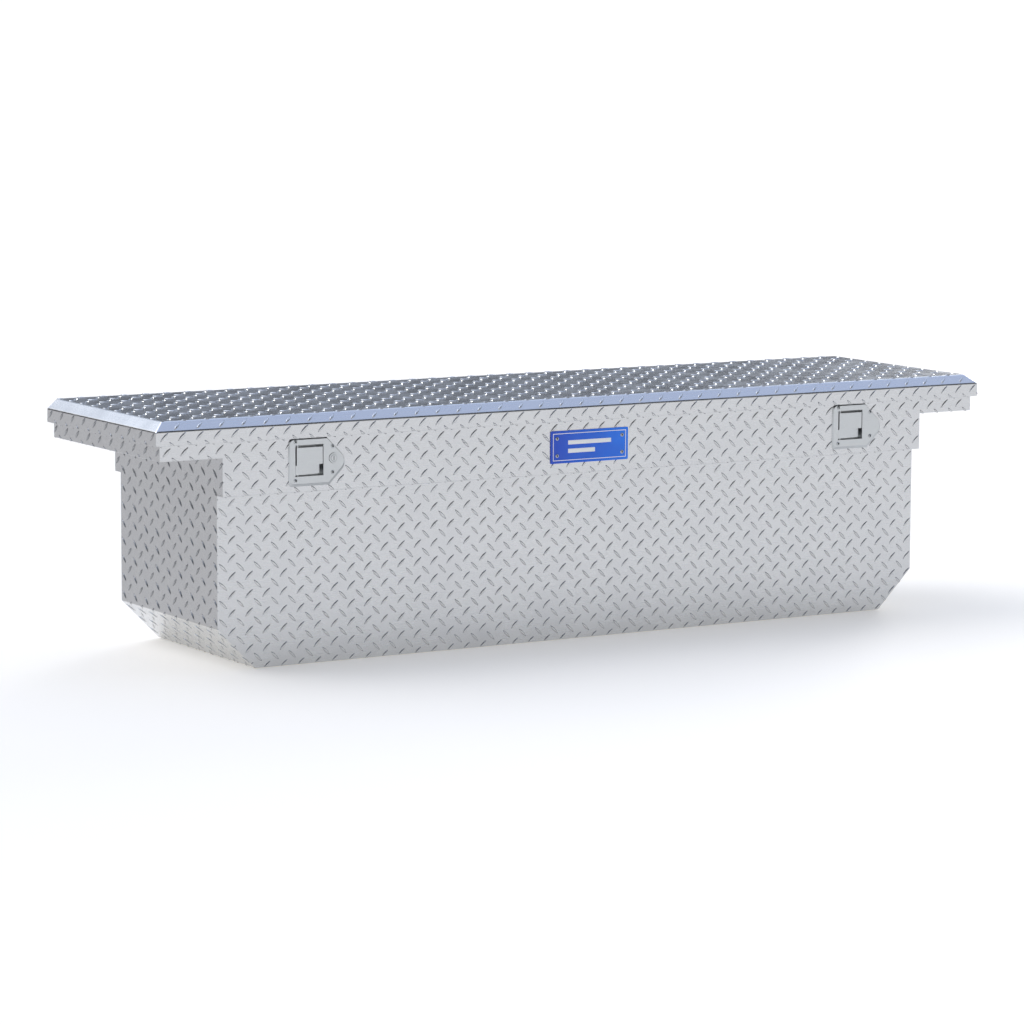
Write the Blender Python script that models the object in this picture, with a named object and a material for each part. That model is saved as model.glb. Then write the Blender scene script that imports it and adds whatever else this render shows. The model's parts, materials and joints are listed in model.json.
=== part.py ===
"""Low-profile crossover tool box for a pickup bed: folded tread-plate tub with saddle
wings, one hinged lid on gas struts, and two paddle latches joined by a lock rod.

Metres. +X along the box, -Y is the front, +Z up. The origin is under the middle of the
lid, at the level of the tub's floor. u and v are a latch's own axes, right and up from
the lower left corner of its plate.
"""
import math

import bmesh
import bpy
from mathutils import Matrix, Vector

# Overall
BOX_LENGTH = 1.829
BOX_DEPTH = 0.464
BOX_HEIGHT = 0.4645
SHEET = 0.002                 # tread plate of tub and lid
GAP = 0.0003                  # between pieces that touch
RUNNING = 0.00035             # radial play of a pin in its bore

# Tub
TUB_LENGTH = 1.555
CORNER_CUT = 0.077            # 45 degree cut at the tub's lower ends
STEP_SETBACK = 0.024          # lower panels stand back from the upper ones
END_OVERHANG = 0.0115         # lid beyond the wings
FRONT_OVERHANG = 0.0088
WING_DROP = 0.0289            # wing skirt below the lid's rim
PANEL_DROP = 0.0711           # upper panels below the wings
WING_LAP = 0.022              # wing's flange down inside the tub's end wall
LIP_RISE = 0.0165             # lip above the lid's lower edge
LIP_WIDTH = 0.018

# Lid
RIM_HEIGHT = 0.0258
BEVEL_DROP = 0.017
END_BEVEL_RUN = 0.0204
FRONT_BEVEL_RUN = 0.0178
PAN_SHEET = 0.0012
PAN_DROP = 0.0175             # underside of the inner pan below the lid's top
PAN_INSET = 0.0055
CORE_MARGIN = 0.0025
LID_OPEN_ANGLE = math.radians(75)

# Weather seal
SEAL_INSET = 0.003
SEAL_WIDTH = 0.010

# Hinge along the rear edge
HINGE_END = 0.025
KNUCKLE_COUNT = 21
KNUCKLE_GAP = 0.0006
KNUCKLE_RADIUS = 0.0029
HINGE_PIN_RADIUS = 0.0016
LEAF_SHEET = 0.0012
LEAF_HEIGHT = 0.024

# Gas struts: places are forward of and above the hinge line
STRUT_INSET = 0.030           # from the tub's end wall
STRUT_TUB_FORWARD = 0.080
STRUT_TUB_DROP = 0.170
STRUT_LID_FORWARD = 0.110
STRUT_LID_RISE = 0.005
STRUT_BODY_RADIUS = 0.009
STRUT_ROD_RADIUS = 0.004
STRUT_EYE_RADIUS = 0.007
STRUT_EYE_WIDTH = 0.008
STRUT_BODY_CLEAR = 0.0256     # body's mouth below the lid stud when shut
STUD_RADIUS = 0.004
BRACKET_SHEET = 0.002
BRACKET_SIZE = 0.030

# Latch plate, a raised face round a pocket, with a nose to the right
LATCH_LEFT_EDGES = {"left": -0.6441, "right": 0.5640}
LATCH_BELOW_RIM = 0.002
PLATE_HEIGHT = 0.0877
PLATE_NOSE = 0.116
PLATE_RISE = 0.0032
PLATE_CORNER = 0.007
FACE_INSET = 0.002
FACE_BOTTOM_INSET = 0.0052
FACE_NOSE_INSET = 0.003
LOWER_CUT = 0.084             # where the nose's lower edge would meet v = 0
UPPER_CUT = 0.0787            # where its upper edge leaves the top
FACE_LOWER_CUT_SHIFT = 0.0078
FACE_UPPER_CUT_SHIFT = 0.0028
POCKET_LEFT = 0.0127
POCKET_WIDTH = 0.0579
POCKET_BOTTOM = 0.0183
POCKET_HEIGHT = 0.0576
POCKET_DEPTH = 0.0165
POCKET_WALL = 0.0015
CUTOUT_CLEARANCE = 0.0006

# Paddle, hinged on an upright pin at its left edge
PADDLE_RECESS = 0.001
PADDLE_SHEET = 0.002
PADDLE_SIDE_GAP = 0.0008
PADDLE_LEFT_GAP = 0.0035
PADDLE_BOTTOM_GAP = 0.003
PADDLE_TOP_GAP = 0.005
PADDLE_TAB_HEIGHT = 0.0172    # lower part that fills the pocket to the left
NOTCH_WIDTH = 0.0365          # finger notch at the lower right
NOTCH_HEIGHT = 0.0181
NOTCH_SLOT = 0.0058
RAMP_DEPTH = 0.0045
PADDLE_ANGLE = math.radians(32)
PADDLE_PIN_RADIUS = 0.0015
PADDLE_BARREL_RADIUS = 0.003
PADDLE_PIN_INSET = 0.0067     # from the pocket's left wall
PADDLE_PIN_BACK = 0.001       # behind the panel's face

# Lock rod, which joins the two latches
ROD_RADIUS = 0.004
ROD_BACK = 0.027
ROD_RAISE = 0.035             # above the plate's lower edge
ROD_OVERRUN = 0.020
FORK_PRONG = 0.003
FORK_PLAY = 0.0008
FORK_TOP = 0.012              # above the rod's centre
FORK_DEPTH = 0.005
TAIL_BOSS_RADIUS = 0.0035
TAIL_WIDTH = 0.003
TAIL_HEIGHT = 0.006
TAIL_RAISE = 0.005            # tail above the rod's centre
GUIDE_PLACE = 0.25
GUIDE_WIDTH = 0.012

# Hook, pawl and case behind each pocket
HOOK_PIN_ACROSS = 0.045       # u of the hook's pin
HOOK_PIN_BELOW_BAR = 0.022
HOOK_PIN_RADIUS = 0.003
HOOK_HUB_RADIUS = 0.010
HOOK_INNER_RADIUS = 0.027
HOOK_OUTER_RADIUS = 0.0315
HOOK_BACK = 0.026
HOOK_SHEET = 0.004
PAWL_ACROSS = 0.021
PAWL_BELOW = 0.008
PAWL_HUB_RADIUS = 0.0048
PAWL_PIN_RADIUS = 0.002
PAWL_GAP = 0.0006
PAWL_BOSS_RADIUS = 0.0032
PAWL_BOSS_RAISE = 0.0085      # above the rod's centre
CASE_BACK = 0.0183
CASE_DEPTH = 0.0177
CASE_SHEET = 0.002
CASE_LEFT = 0.020
CASE_RIGHT = 0.030
CASE_BOTTOM = 0.024
CASE_TOP = 0.008
CASE_WEB_END = 0.004

# Striker on the lid
STRIKER_DROP = 0.017
STRIKER_BAR_RADIUS = 0.004
STRIKER_LEG = 0.0025
STRIKER_FRONT = 0.0215
STRIKER_REAR = 0.035
STRIKER_HALF_WIDTH = 0.006
STRIKER_BASE_HALF = 0.018
STRIKER_BASE_MARGIN = 0.0025
STRIKER_BASE_SHEET = 0.002

# Key cylinder, in the left plate's nose
LOCK_ACROSS = 0.0917
LOCK_RAISE = 0.0489
LOCK_RADIUS = 0.0095
LOCK_PROUD = 0.0012
LOCK_REAR = 0.0235
PLUG_RADIUS = 0.006
PLUG_STUD_RADIUS = 0.003
PLUG_STUD_LENGTH = 0.006
CAM_HUB_RADIUS = 0.005
CAM_REACH = 0.0094
CAM_HALF_WIDTH = 0.003
CAM_SHEET = 0.003
KEY_SLOT_WIDTH = 0.0012
KEY_SLOT_HEIGHT = 0.0075
KEY_SLOT_DEPTH = 0.008
LOCK_STOP_WIDTH = 0.0055
LOCK_STOP_TOP = 0.0085        # above the rod's centre

# Rivets
RIVET_RADIUS = 0.0019
RIVET_HEAD_RADIUS = 0.0036
RIVET_HEAD_HEIGHT = 0.0012
RIVET_TAIL_RADIUS = 0.0028
RIVET_TAIL_LENGTH = 0.004
LATCH_RIVETS = ((0.0132, 0.0112), (0.0132, 0.0822), (0.0898, 0.0228), (0.0898, 0.0706))

# Badge
BADGE_LENGTH = 0.1728
BADGE_HEIGHT = 0.062
BADGE_SHEET = 0.0016
BADGE_BELOW_RIM = 0.0181
BADGE_CORNER = 0.002
BADGE_RIVET_ACROSS = 0.0725
BADGE_RIVET_UP = 0.0163

# Worked out from the sizes above
WING_X = BOX_LENGTH / 2 - END_OVERHANG
TUB_X = TUB_LENGTH / 2
FRONT_Y = -BOX_DEPTH / 2 + FRONT_OVERHANG
HINGE_BACK = max(KNUCKLE_RADIUS, SHEET + GAP + LEAF_SHEET / 2)   # hinge line in from the lid's rear
HINGE_Y = BOX_DEPTH / 2 - HINGE_BACK
REAR_Y = HINGE_Y - KNUCKLE_RADIUS - 2 * GAP
TOP_Z = BOX_HEIGHT
BEVEL_Z = TOP_Z - BEVEL_DROP
RIM_Z = BEVEL_Z - RIM_HEIGHT
RAIL_Z = RIM_Z - WING_DROP
STEP_Z = RAIL_Z - PANEL_DROP
LIP_Z = RIM_Z + LIP_RISE
PAN_Z = TOP_Z - PAN_DROP
INNER_FRONT_Y = FRONT_Y + SHEET + GAP
INNER_REAR_Y = REAR_Y - SHEET - GAP
HINGE_X = WING_X - HINGE_END
HINGE_Z = RIM_Z - 2 * GAP - KNUCKLE_RADIUS
HINGE_BORE = HINGE_PIN_RADIUS + GAP
HINGE_POINT = Vector((0.0, HINGE_Y, HINGE_Z))
LATCH_Z = RIM_Z - LATCH_BELOW_RIM - PLATE_HEIGHT
ROD_Z = LATCH_Z + ROD_RAISE
ROD_Y = FRONT_Y + ROD_BACK
BAR_Z = PAN_Z - STRIKER_DROP
HOOK_Z = BAR_Z - HOOK_PIN_BELOW_BAR
HOOK_Y = FRONT_Y + HOOK_BACK
PAWL_Z = HOOK_Z - PAWL_BELOW
POCKET_RIGHT = POCKET_LEFT + POCKET_WIDTH
POCKET_TOP = POCKET_BOTTOM + POCKET_HEIGHT
POCKET_BACK = FRONT_Y + POCKET_DEPTH + POCKET_WALL
PADDLE_PIN_U = POCKET_LEFT + PADDLE_PIN_INSET
PADDLE_PIN_Y = FRONT_Y + PADDLE_PIN_BACK
TAIL_LENGTH = ROD_Y - PADDLE_PIN_Y
BADGE_Z = RIM_Z - BADGE_BELOW_RIM - BADGE_HEIGHT / 2
STRUT_X = TUB_X - STRUT_INSET
STRUT_TUB_POINT = HINGE_POINT + Vector((0.0, -STRUT_TUB_FORWARD, -STRUT_TUB_DROP))
STRUT_LID_POINT = HINGE_POINT + Vector((0.0, -STRUT_LID_FORWARD, STRUT_LID_RISE))

AXES = {"X": (1, 2, 0), "Y": (0, 2, 1), "Z": (0, 1, 2)}
ALUMINIUM = ("bright_aluminium", (0.80, 0.81, 0.82), 0.32, 1.0)
STAINLESS = ("stainless_steel", (0.66, 0.67, 0.68), 0.28, 1.0)
ZINC = ("zinc_plated_steel", (0.62, 0.62, 0.60), 0.35, 1.0)
RUBBER = ("black_rubber", (0.03, 0.03, 0.03), 0.8, 0.0)
BLACK = ("black_steel", (0.04, 0.04, 0.045), 0.4, 0.3)
BLUE = ("blue_enamel", (0.0, 0.075, 0.60), 0.3, 0.0)
FOAM = ("foam_core", (0.85, 0.80, 0.62), 0.9, 0.0)


def material_of(finish):
    """A shared Principled material for a finish."""
    name, colour, roughness, metallic = finish
    found = bpy.data.materials.get(name)
    if found:
        return found
    new = bpy.data.materials.new(name)
    new.use_nodes = True
    shader = new.node_tree.nodes["Principled BSDF"]
    shader.inputs["Base Color"].default_value = (*colour, 1.0)
    shader.inputs["Roughness"].default_value = roughness
    shader.inputs["Metallic"].default_value = metallic
    new.diffuse_color = (*colour, 1.0)
    return new


def lift(axis, a, b, along):
    """A point from two coordinates across an axis and one along it."""
    point = [0.0, 0.0, 0.0]
    first, second, third = AXES[axis]
    point[first], point[second], point[third] = a, b, along
    return Vector(point)


def finished(bm):
    bmesh.ops.recalc_face_normals(bm, faces=bm.faces)
    return bm


def prism(outline, axis, low, high):
    """A closed outline of (a, b) points, drawn out along an axis."""
    return loft([[lift(axis, a, b, low) for a, b in outline], [lift(axis, a, b, high) for a, b in outline]])


def loft(loops):
    """Skin between loops of equal length, closed by its first and last loop."""
    bm = bmesh.new()
    rings = [[bm.verts.new(point) for point in loop] for loop in loops]
    for near, far in zip(rings, rings[1:]):
        for i, vert in enumerate(near):
            j = (i + 1) % len(near)
            bm.faces.new((vert, near[j], far[j], far[i]))
    bm.faces.new(rings[0])
    bm.faces.new(rings[-1])
    return finished(bm)


def block(low, high):
    (x0, y0, z0), (x1, y1, z1) = low, high
    return prism([(x0, y0), (x1, y0), (x1, y1), (x0, y1)], "Z", z0, z1)


def turned(profile, axis, centre, steps=16):
    """Closed (radius, height) profile turned about an axis; radius 0 is a pole."""
    bm = bmesh.new()
    rings = []
    for radius, height in profile:
        if radius == 0:
            rings.append([bm.verts.new(lift(axis, 0.0, 0.0, height) + Vector(centre))])
            continue
        angles = [2 * math.pi * k / steps for k in range(steps)]
        points = [lift(axis, radius * math.cos(t), radius * math.sin(t), height) for t in angles]
        rings.append([bm.verts.new(point + Vector(centre)) for point in points])
    closed = profile[0][0] != 0
    followers = rings[1:] + rings[:1] if closed else rings[1:]
    for near, far in zip(rings, followers):
        for i in range(steps):
            j = (i + 1) % steps
            corners = [near[i % len(near)], near[j % len(near)], far[j % len(far)], far[i % len(far)]]
            bm.faces.new(list(dict.fromkeys(corners)))
    return finished(bm)


def rod(radius, axis, centre, low, high, steps=16):
    """A plain round bar along an axis, from low to high past its centre."""
    return turned([(0, low), (radius, low), (radius, high), (0, high)], axis, centre, steps)


def tube(outer, inner, axis, centre, low, high, steps=16):
    return turned([(outer, low), (outer, high), (inner, high), (inner, low)], axis, centre, steps)


def gathered(shapes):
    """Separate shapes put into one mesh."""
    whole = bmesh.new()
    for bm in shapes:
        mesh = bpy.data.meshes.new("gathered")
        bm.to_mesh(mesh)
        bm.free()
        whole.from_mesh(mesh)
        bpy.data.meshes.remove(mesh)
    return whole


def folded(path, thickness):
    """Outline of a sheet bent along a path; it lies left of the path if thickness is positive."""
    points = [Vector(point) for point in path]
    normals = []
    for start, end in zip(points, points[1:]):
        run = (end - start).normalized()
        normals.append(Vector((-run.y, run.x)))
    inner = []
    for i, point in enumerate(points):
        before = normals[max(i - 1, 0)]
        after = normals[min(i, len(normals) - 1)]
        mitre = before + after
        inner.append(point + mitre * thickness * 2 / mitre.length_squared)
    return [tuple(point) for point in points] + [tuple(point) for point in reversed(inner)]


def arc(centre, radius, start, end, count):
    """Points on an arc, angles in degrees."""
    angles = [math.radians(start + (end - start) * k / count) for k in range(count + 1)]
    return [(centre[0] + radius * math.cos(t), centre[1] + radius * math.sin(t)) for t in angles]


def make(name, bm, finish, origin=(0, 0, 0), parent=None, smooth=False):
    """Turn a mesh into a named object whose origin is where it is fixed or turns."""
    origin = Vector(origin)
    bmesh.ops.translate(bm, verts=bm.verts, vec=-origin)
    mesh = bpy.data.meshes.new(name)
    bm.to_mesh(mesh)
    bm.free()
    if smooth:
        mesh.shade_smooth()
        mesh.set_sharp_from_angle(angle=math.radians(35))
    obj = bpy.data.objects.new(name, mesh)
    obj.data.materials.append(material_of(finish))
    bpy.context.scene.collection.objects.link(obj)
    obj.location = origin
    if parent:
        obj.parent = parent
        obj.location = origin - parent.location
    return obj


def empty_at(name, place):
    empty = bpy.data.objects.new(name, None)
    empty.location = place
    bpy.context.scene.collection.objects.link(empty)
    return empty


def combine(obj, operation, bm):
    """Add a Boolean modifier whose other shape is a hidden wire guide."""
    number = len(obj.modifiers)
    guide = make(f"{obj.name}_guide_{number}", bm, ALUMINIUM)
    guide.hide_render = True
    guide.display_type = "WIRE"
    modifier = obj.modifiers.new(f"{operation.lower()}_{number}", "BOOLEAN")
    modifier.operation = operation
    modifier.solver = "EXACT"
    modifier.object = guide


def fuse(obj, *shapes):
    for bm in shapes:
        combine(obj, "UNION", bm)


def carve(obj, *shapes):
    for bm in shapes:
        combine(obj, "DIFFERENCE", bm)


# Latch shapes that several pieces share

def latch_block(left_edge, u_range, y_range, v_range):
    """A block from ranges of u, of depth behind the panel's face, and of v."""
    low = (left_edge + u_range[0], FRONT_Y + y_range[0], LATCH_Z + v_range[0])
    high = (left_edge + u_range[1], FRONT_Y + y_range[1], LATCH_Z + v_range[1])
    return block(low, high)


def nose_outline(left, right, bottom, top, lower_cut, upper_cut, corner):
    """Square plate whose right side runs in at 45 degrees to a round nose."""
    apex_v = (upper_cut + top - lower_cut + bottom) / 2
    apex_u = apex_v - bottom + lower_cut
    radius = (apex_u - right) / (math.sqrt(2) - 1)
    centre = (right - radius, apex_v)
    points = arc((left + corner, top - corner), corner, 90, 180, 4)
    points += arc((left + corner, bottom + corner), corner, 180, 270, 4)
    points += [(lower_cut, bottom)]
    points += arc(centre, radius, -45, 45, 8)
    points += [(upper_cut, top)]
    return points


def pocket_opening(left_edge, grow, depth_range):
    u_range = (POCKET_LEFT - grow, POCKET_RIGHT + grow)
    return latch_block(left_edge, u_range, depth_range, (POCKET_BOTTOM - grow, POCKET_TOP + grow))


def rivet_holes(places, depth_low, depth_high):
    radius = RIVET_RADIUS + RUNNING
    return [rod(radius, "Y", (x, 0, z), depth_low, depth_high, 10) for x, z in places]


def latch_rivet_places(left_edge):
    return [(left_edge + u, LATCH_Z + v) for u, v in LATCH_RIVETS]


def badge_rivet_places():
    return [(sx * BADGE_RIVET_ACROSS, BADGE_Z + sz * BADGE_RIVET_UP) for sx in (-1, 1) for sz in (-1, 1)]


def lock_hole(depth_low, depth_high):
    x = LATCH_LEFT_EDGES["left"] + LOCK_ACROSS
    return rod(LOCK_RADIUS + RUNNING, "Y", (x, 0, LATCH_Z + LOCK_RAISE), depth_low, depth_high, 24)


# Tub

def tub_wrap(tub):
    """Both end walls, the cut corners and the floor, folded from one sheet."""
    path = [(-TUB_X, RAIL_Z), (-TUB_X, CORNER_CUT), (-TUB_X + CORNER_CUT, 0)]
    path += [(-x, z) for x, z in reversed(path)]
    obj = make("tub_wrap", prism(folded(path, SHEET), "Y", INNER_FRONT_Y, INNER_REAR_Y), ALUMINIUM, parent=tub)
    arm_z = STEP_Z + SHEET + GAP
    beyond = TUB_X + SHEET
    front = block((-beyond, FRONT_Y, -SHEET), (beyond, INNER_FRONT_Y + STEP_SETBACK, arm_z))
    rear = block((-beyond, INNER_REAR_Y - STEP_SETBACK, -SHEET), (beyond, REAR_Y, arm_z))
    carve(obj, gathered([front, rear]))


def long_panel(name, tub, face_y, inward):
    """Front or rear sheet: lip, upper panel, step and lower panel."""
    lower_y = face_y + inward * STEP_SETBACK
    path = [(face_y + inward * LIP_WIDTH, LIP_Z), (face_y, LIP_Z), (face_y, STEP_Z), (lower_y, STEP_Z)]
    path += [(lower_y, 0)]
    obj = make(name, prism(folded(path, inward * SHEET), "X", -WING_X, WING_X), ALUMINIUM, parent=tub)
    low_y = min(face_y, lower_y) - 3 * SHEET
    high_y = max(face_y, lower_y) + 3 * SHEET
    reach = WING_X + SHEET
    waste = []
    for side in (-1, 1):
        outline = [(TUB_X, RAIL_Z), (TUB_X, CORNER_CUT), (TUB_X - CORNER_CUT - SHEET, -SHEET)]
        outline += [(reach, -SHEET), (reach, RAIL_Z)]
        waste.append(prism([(side * x, z) for x, z in outline], "Y", low_y, high_y))
    carve(obj, gathered(waste))
    return obj


def front_panel(tub):
    obj = long_panel("front_panel", tub, FRONT_Y, 1)
    through = (FRONT_Y - SHEET, FRONT_Y + 2 * SHEET)
    cuts = [lock_hole(*through)]
    cuts += rivet_holes(badge_rivet_places(), *through)
    for left_edge in LATCH_LEFT_EDGES.values():
        grow = POCKET_WALL + CUTOUT_CLEARANCE
        cuts.append(pocket_opening(left_edge, grow, (-SHEET, 2 * SHEET)))
        cuts += rivet_holes(latch_rivet_places(left_edge), *through)
    carve(obj, gathered(cuts))


def wing(name, tub, side):
    """Saddle that carries one end of the box on a bed rail, joggled over the end wall's edge."""
    flange_x, rest_x = TUB_X - SHEET - GAP, TUB_X + GAP
    path = [(flange_x, RAIL_Z - WING_LAP), (flange_x, RAIL_Z + GAP), (rest_x, RAIL_Z + GAP)]
    path += [(rest_x, RAIL_Z), (WING_X, RAIL_Z), (WING_X, LIP_Z)]
    path += [(WING_X - LIP_WIDTH, LIP_Z)]
    outline = folded([(side * x, z) for x, z in path], side * SHEET)
    obj = make(name, prism(outline, "Y", INNER_FRONT_Y, INNER_REAR_Y), ALUMINIUM, parent=tub)
    notches = []
    for edge_y, inward in ((FRONT_Y, 1), (REAR_Y, -1)):
        near, far = sorted((edge_y, edge_y + inward * (LIP_WIDTH + GAP)))
        x0, x1 = sorted((side * (WING_X - LIP_WIDTH - SHEET), side * (WING_X + SHEET)))
        notches.append(block((x0, near, LIP_Z - SHEET - GAP), (x1, far, LIP_Z + SHEET)))
    carve(obj, gathered(notches))


def weather_seal(tub):
    """Bulb seal all round the opening, on the lips."""
    low, high = LIP_Z + GAP, PAN_Z - GAP
    middle = (low + high) / 2
    profile = [(0.0, low), (0.0, middle), (0.25, high), (0.75, high), (1.0, middle), (1.0, low)]
    loops = []
    for share, z in profile:
        inset = SEAL_INSET + share * SEAL_WIDTH
        x, y0, y1 = WING_X - inset, FRONT_Y + inset, REAR_Y - inset
        loops.append([Vector(p) for p in ((-x, y0, z), (x, y0, z), (x, y1, z), (-x, y1, z))])
    bm = bmesh.new()
    rings = [[bm.verts.new(point) for point in loop] for loop in loops]
    for near, far in zip(rings, rings[1:] + rings[:1]):
        for i in range(4):
            j = (i + 1) % 4
            bm.faces.new((near[i], near[j], far[j], far[i]))
    make("weather_seal", finished(bm), RUBBER, parent=tub)


# Lid

def rectangle(end_inset, front_inset, rear_inset, z):
    x = BOX_LENGTH / 2 - end_inset
    y0, y1 = -BOX_DEPTH / 2 + front_inset, BOX_DEPTH / 2 - rear_inset
    return [Vector(p) for p in ((-x, y0, z), (x, y0, z), (x, y1, z), (-x, y1, z))]


def lid_skin(lid):
    """Top, bevels and rim: an open shell one sheet thick."""
    front_slope = math.atan2(FRONT_BEVEL_RUN, BEVEL_DROP)
    end_slope = math.atan2(END_BEVEL_RUN, BEVEL_DROP)
    inner_bevel_z = BEVEL_Z - SHEET * math.tan(front_slope / 2)
    inner_end = END_BEVEL_RUN + SHEET * math.tan((math.pi / 2 - end_slope) / 2)
    inner_front = FRONT_BEVEL_RUN + SHEET * math.tan((math.pi / 2 - front_slope) / 2)
    loops = [rectangle(END_BEVEL_RUN, FRONT_BEVEL_RUN, 0, TOP_Z), rectangle(0, 0, 0, BEVEL_Z)]
    loops += [rectangle(0, 0, 0, RIM_Z), rectangle(SHEET, SHEET, SHEET, RIM_Z)]
    loops += [rectangle(SHEET, SHEET, SHEET, inner_bevel_z)]
    loops += [rectangle(inner_end, inner_front, SHEET, TOP_Z - SHEET)]
    make("lid_skin", loft(loops), ALUMINIUM, HINGE_POINT, lid)


def lid_pan(lid):
    """Flat inner sheet that closes the lid from below."""
    outer = (PAN_INSET, PAN_INSET, SHEET + GAP)
    loops = [rectangle(*outer, PAN_Z), rectangle(*outer, PAN_Z + PAN_SHEET)]
    make("lid_pan", loft(loops), ALUMINIUM, HINGE_POINT, lid)


def lid_core(lid):
    """Foam between pan and skin."""
    low = rectangle(PAN_INSET + CORE_MARGIN, PAN_INSET + CORE_MARGIN, SHEET + CORE_MARGIN, PAN_Z + PAN_SHEET + GAP)
    end = END_BEVEL_RUN + CORE_MARGIN
    front = FRONT_BEVEL_RUN + CORE_MARGIN
    high = rectangle(end, front, SHEET + CORE_MARGIN, TOP_Z - SHEET - GAP)
    make("lid_foam_core", loft([low, high]), FOAM, HINGE_POINT, lid)


def striker(lid, name, left_edge):
    """Bar along Y between two legs, on a base under the pan."""
    x = left_edge + HOOK_PIN_ACROSS
    base_top = PAN_Z - GAP
    base_bottom = base_top - STRIKER_BASE_SHEET
    front, rear = FRONT_Y + STRIKER_FRONT, FRONT_Y + STRIKER_REAR
    margin = STRIKER_BASE_MARGIN
    base = block((x - STRIKER_BASE_HALF, front - margin, base_bottom), (x + STRIKER_BASE_HALF, rear + margin, base_top))
    obj = make(name, base, ZINC, HINGE_POINT, lid)
    leg_low = BAR_Z - STRIKER_BAR_RADIUS - STRIKER_LEG / 2
    legs = []
    for y in (front, rear - STRIKER_LEG):
        low = (x - STRIKER_HALF_WIDTH, y, leg_low)
        high = (x + STRIKER_HALF_WIDTH, y + STRIKER_LEG, base_bottom + STRIKER_BASE_SHEET / 2)
        legs.append(block(low, high))
    overlap = STRIKER_LEG / 2
    bar = rod(STRIKER_BAR_RADIUS, "Y", (x, 0, BAR_Z), front + overlap, rear - overlap, 12)
    fuse(obj, gathered(legs), bar)


# Hinge

def hinge_leaf(name, parent, first, leaf_side):
    """Leaf with every other knuckle; leaf_side is -1 for the tub's leaf, 1 for the lid's."""
    pitch = 2 * HINGE_X / KNUCKLE_COUNT
    clear = KNUCKLE_RADIUS + 2 * GAP
    if leaf_side < 0:
        y0, y1 = REAR_Y + 2 * GAP / 3, REAR_Y + 2 * GAP / 3 + LEAF_SHEET
        strip = ((y0, HINGE_Z - LEAF_HEIGHT), (y1, HINGE_Z - clear))
        web = ((y0, HINGE_Z - clear - GAP), (y1, HINGE_Z))
    else:
        y0, y1 = HINGE_Y - LEAF_SHEET / 2, HINGE_Y + LEAF_SHEET / 2
        strip = ((y0, HINGE_Z + clear), (y1, HINGE_Z + LEAF_HEIGHT))
        web = ((y0, HINGE_Z + HINGE_BORE + GAP), (y1, HINGE_Z + clear + GAP))
    sheet = block((-HINGE_X, *strip[0]), (HINGE_X, *strip[1]))
    webs, barrels = [], []
    for number in range(first, KNUCKLE_COUNT, 2):
        x0 = -HINGE_X + number * pitch + KNUCKLE_GAP / 2
        x1 = x0 + pitch - KNUCKLE_GAP
        webs.append(block((x0, *web[0]), (x1, *web[1])))
        barrels.append(tube(KNUCKLE_RADIUS, HINGE_BORE, "X", (0, HINGE_Y, HINGE_Z), x0, x1, 12))
    obj = make(name, sheet, ALUMINIUM, HINGE_POINT, parent)
    fuse(obj, gathered(webs), gathered(barrels))


def hinge(tub, lid):
    hinge_leaf("hinge_leaf_tub", tub, 0, -1)
    hinge_leaf("hinge_leaf_lid", lid, 1, 1)
    pin = rod(HINGE_PIN_RADIUS, "X", (0, HINGE_Y, HINGE_Z), -HINGE_X, HINGE_X, 12)
    make("hinge_pin", pin, ZINC, HINGE_POINT, tub, smooth=True)


# Gas struts

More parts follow.
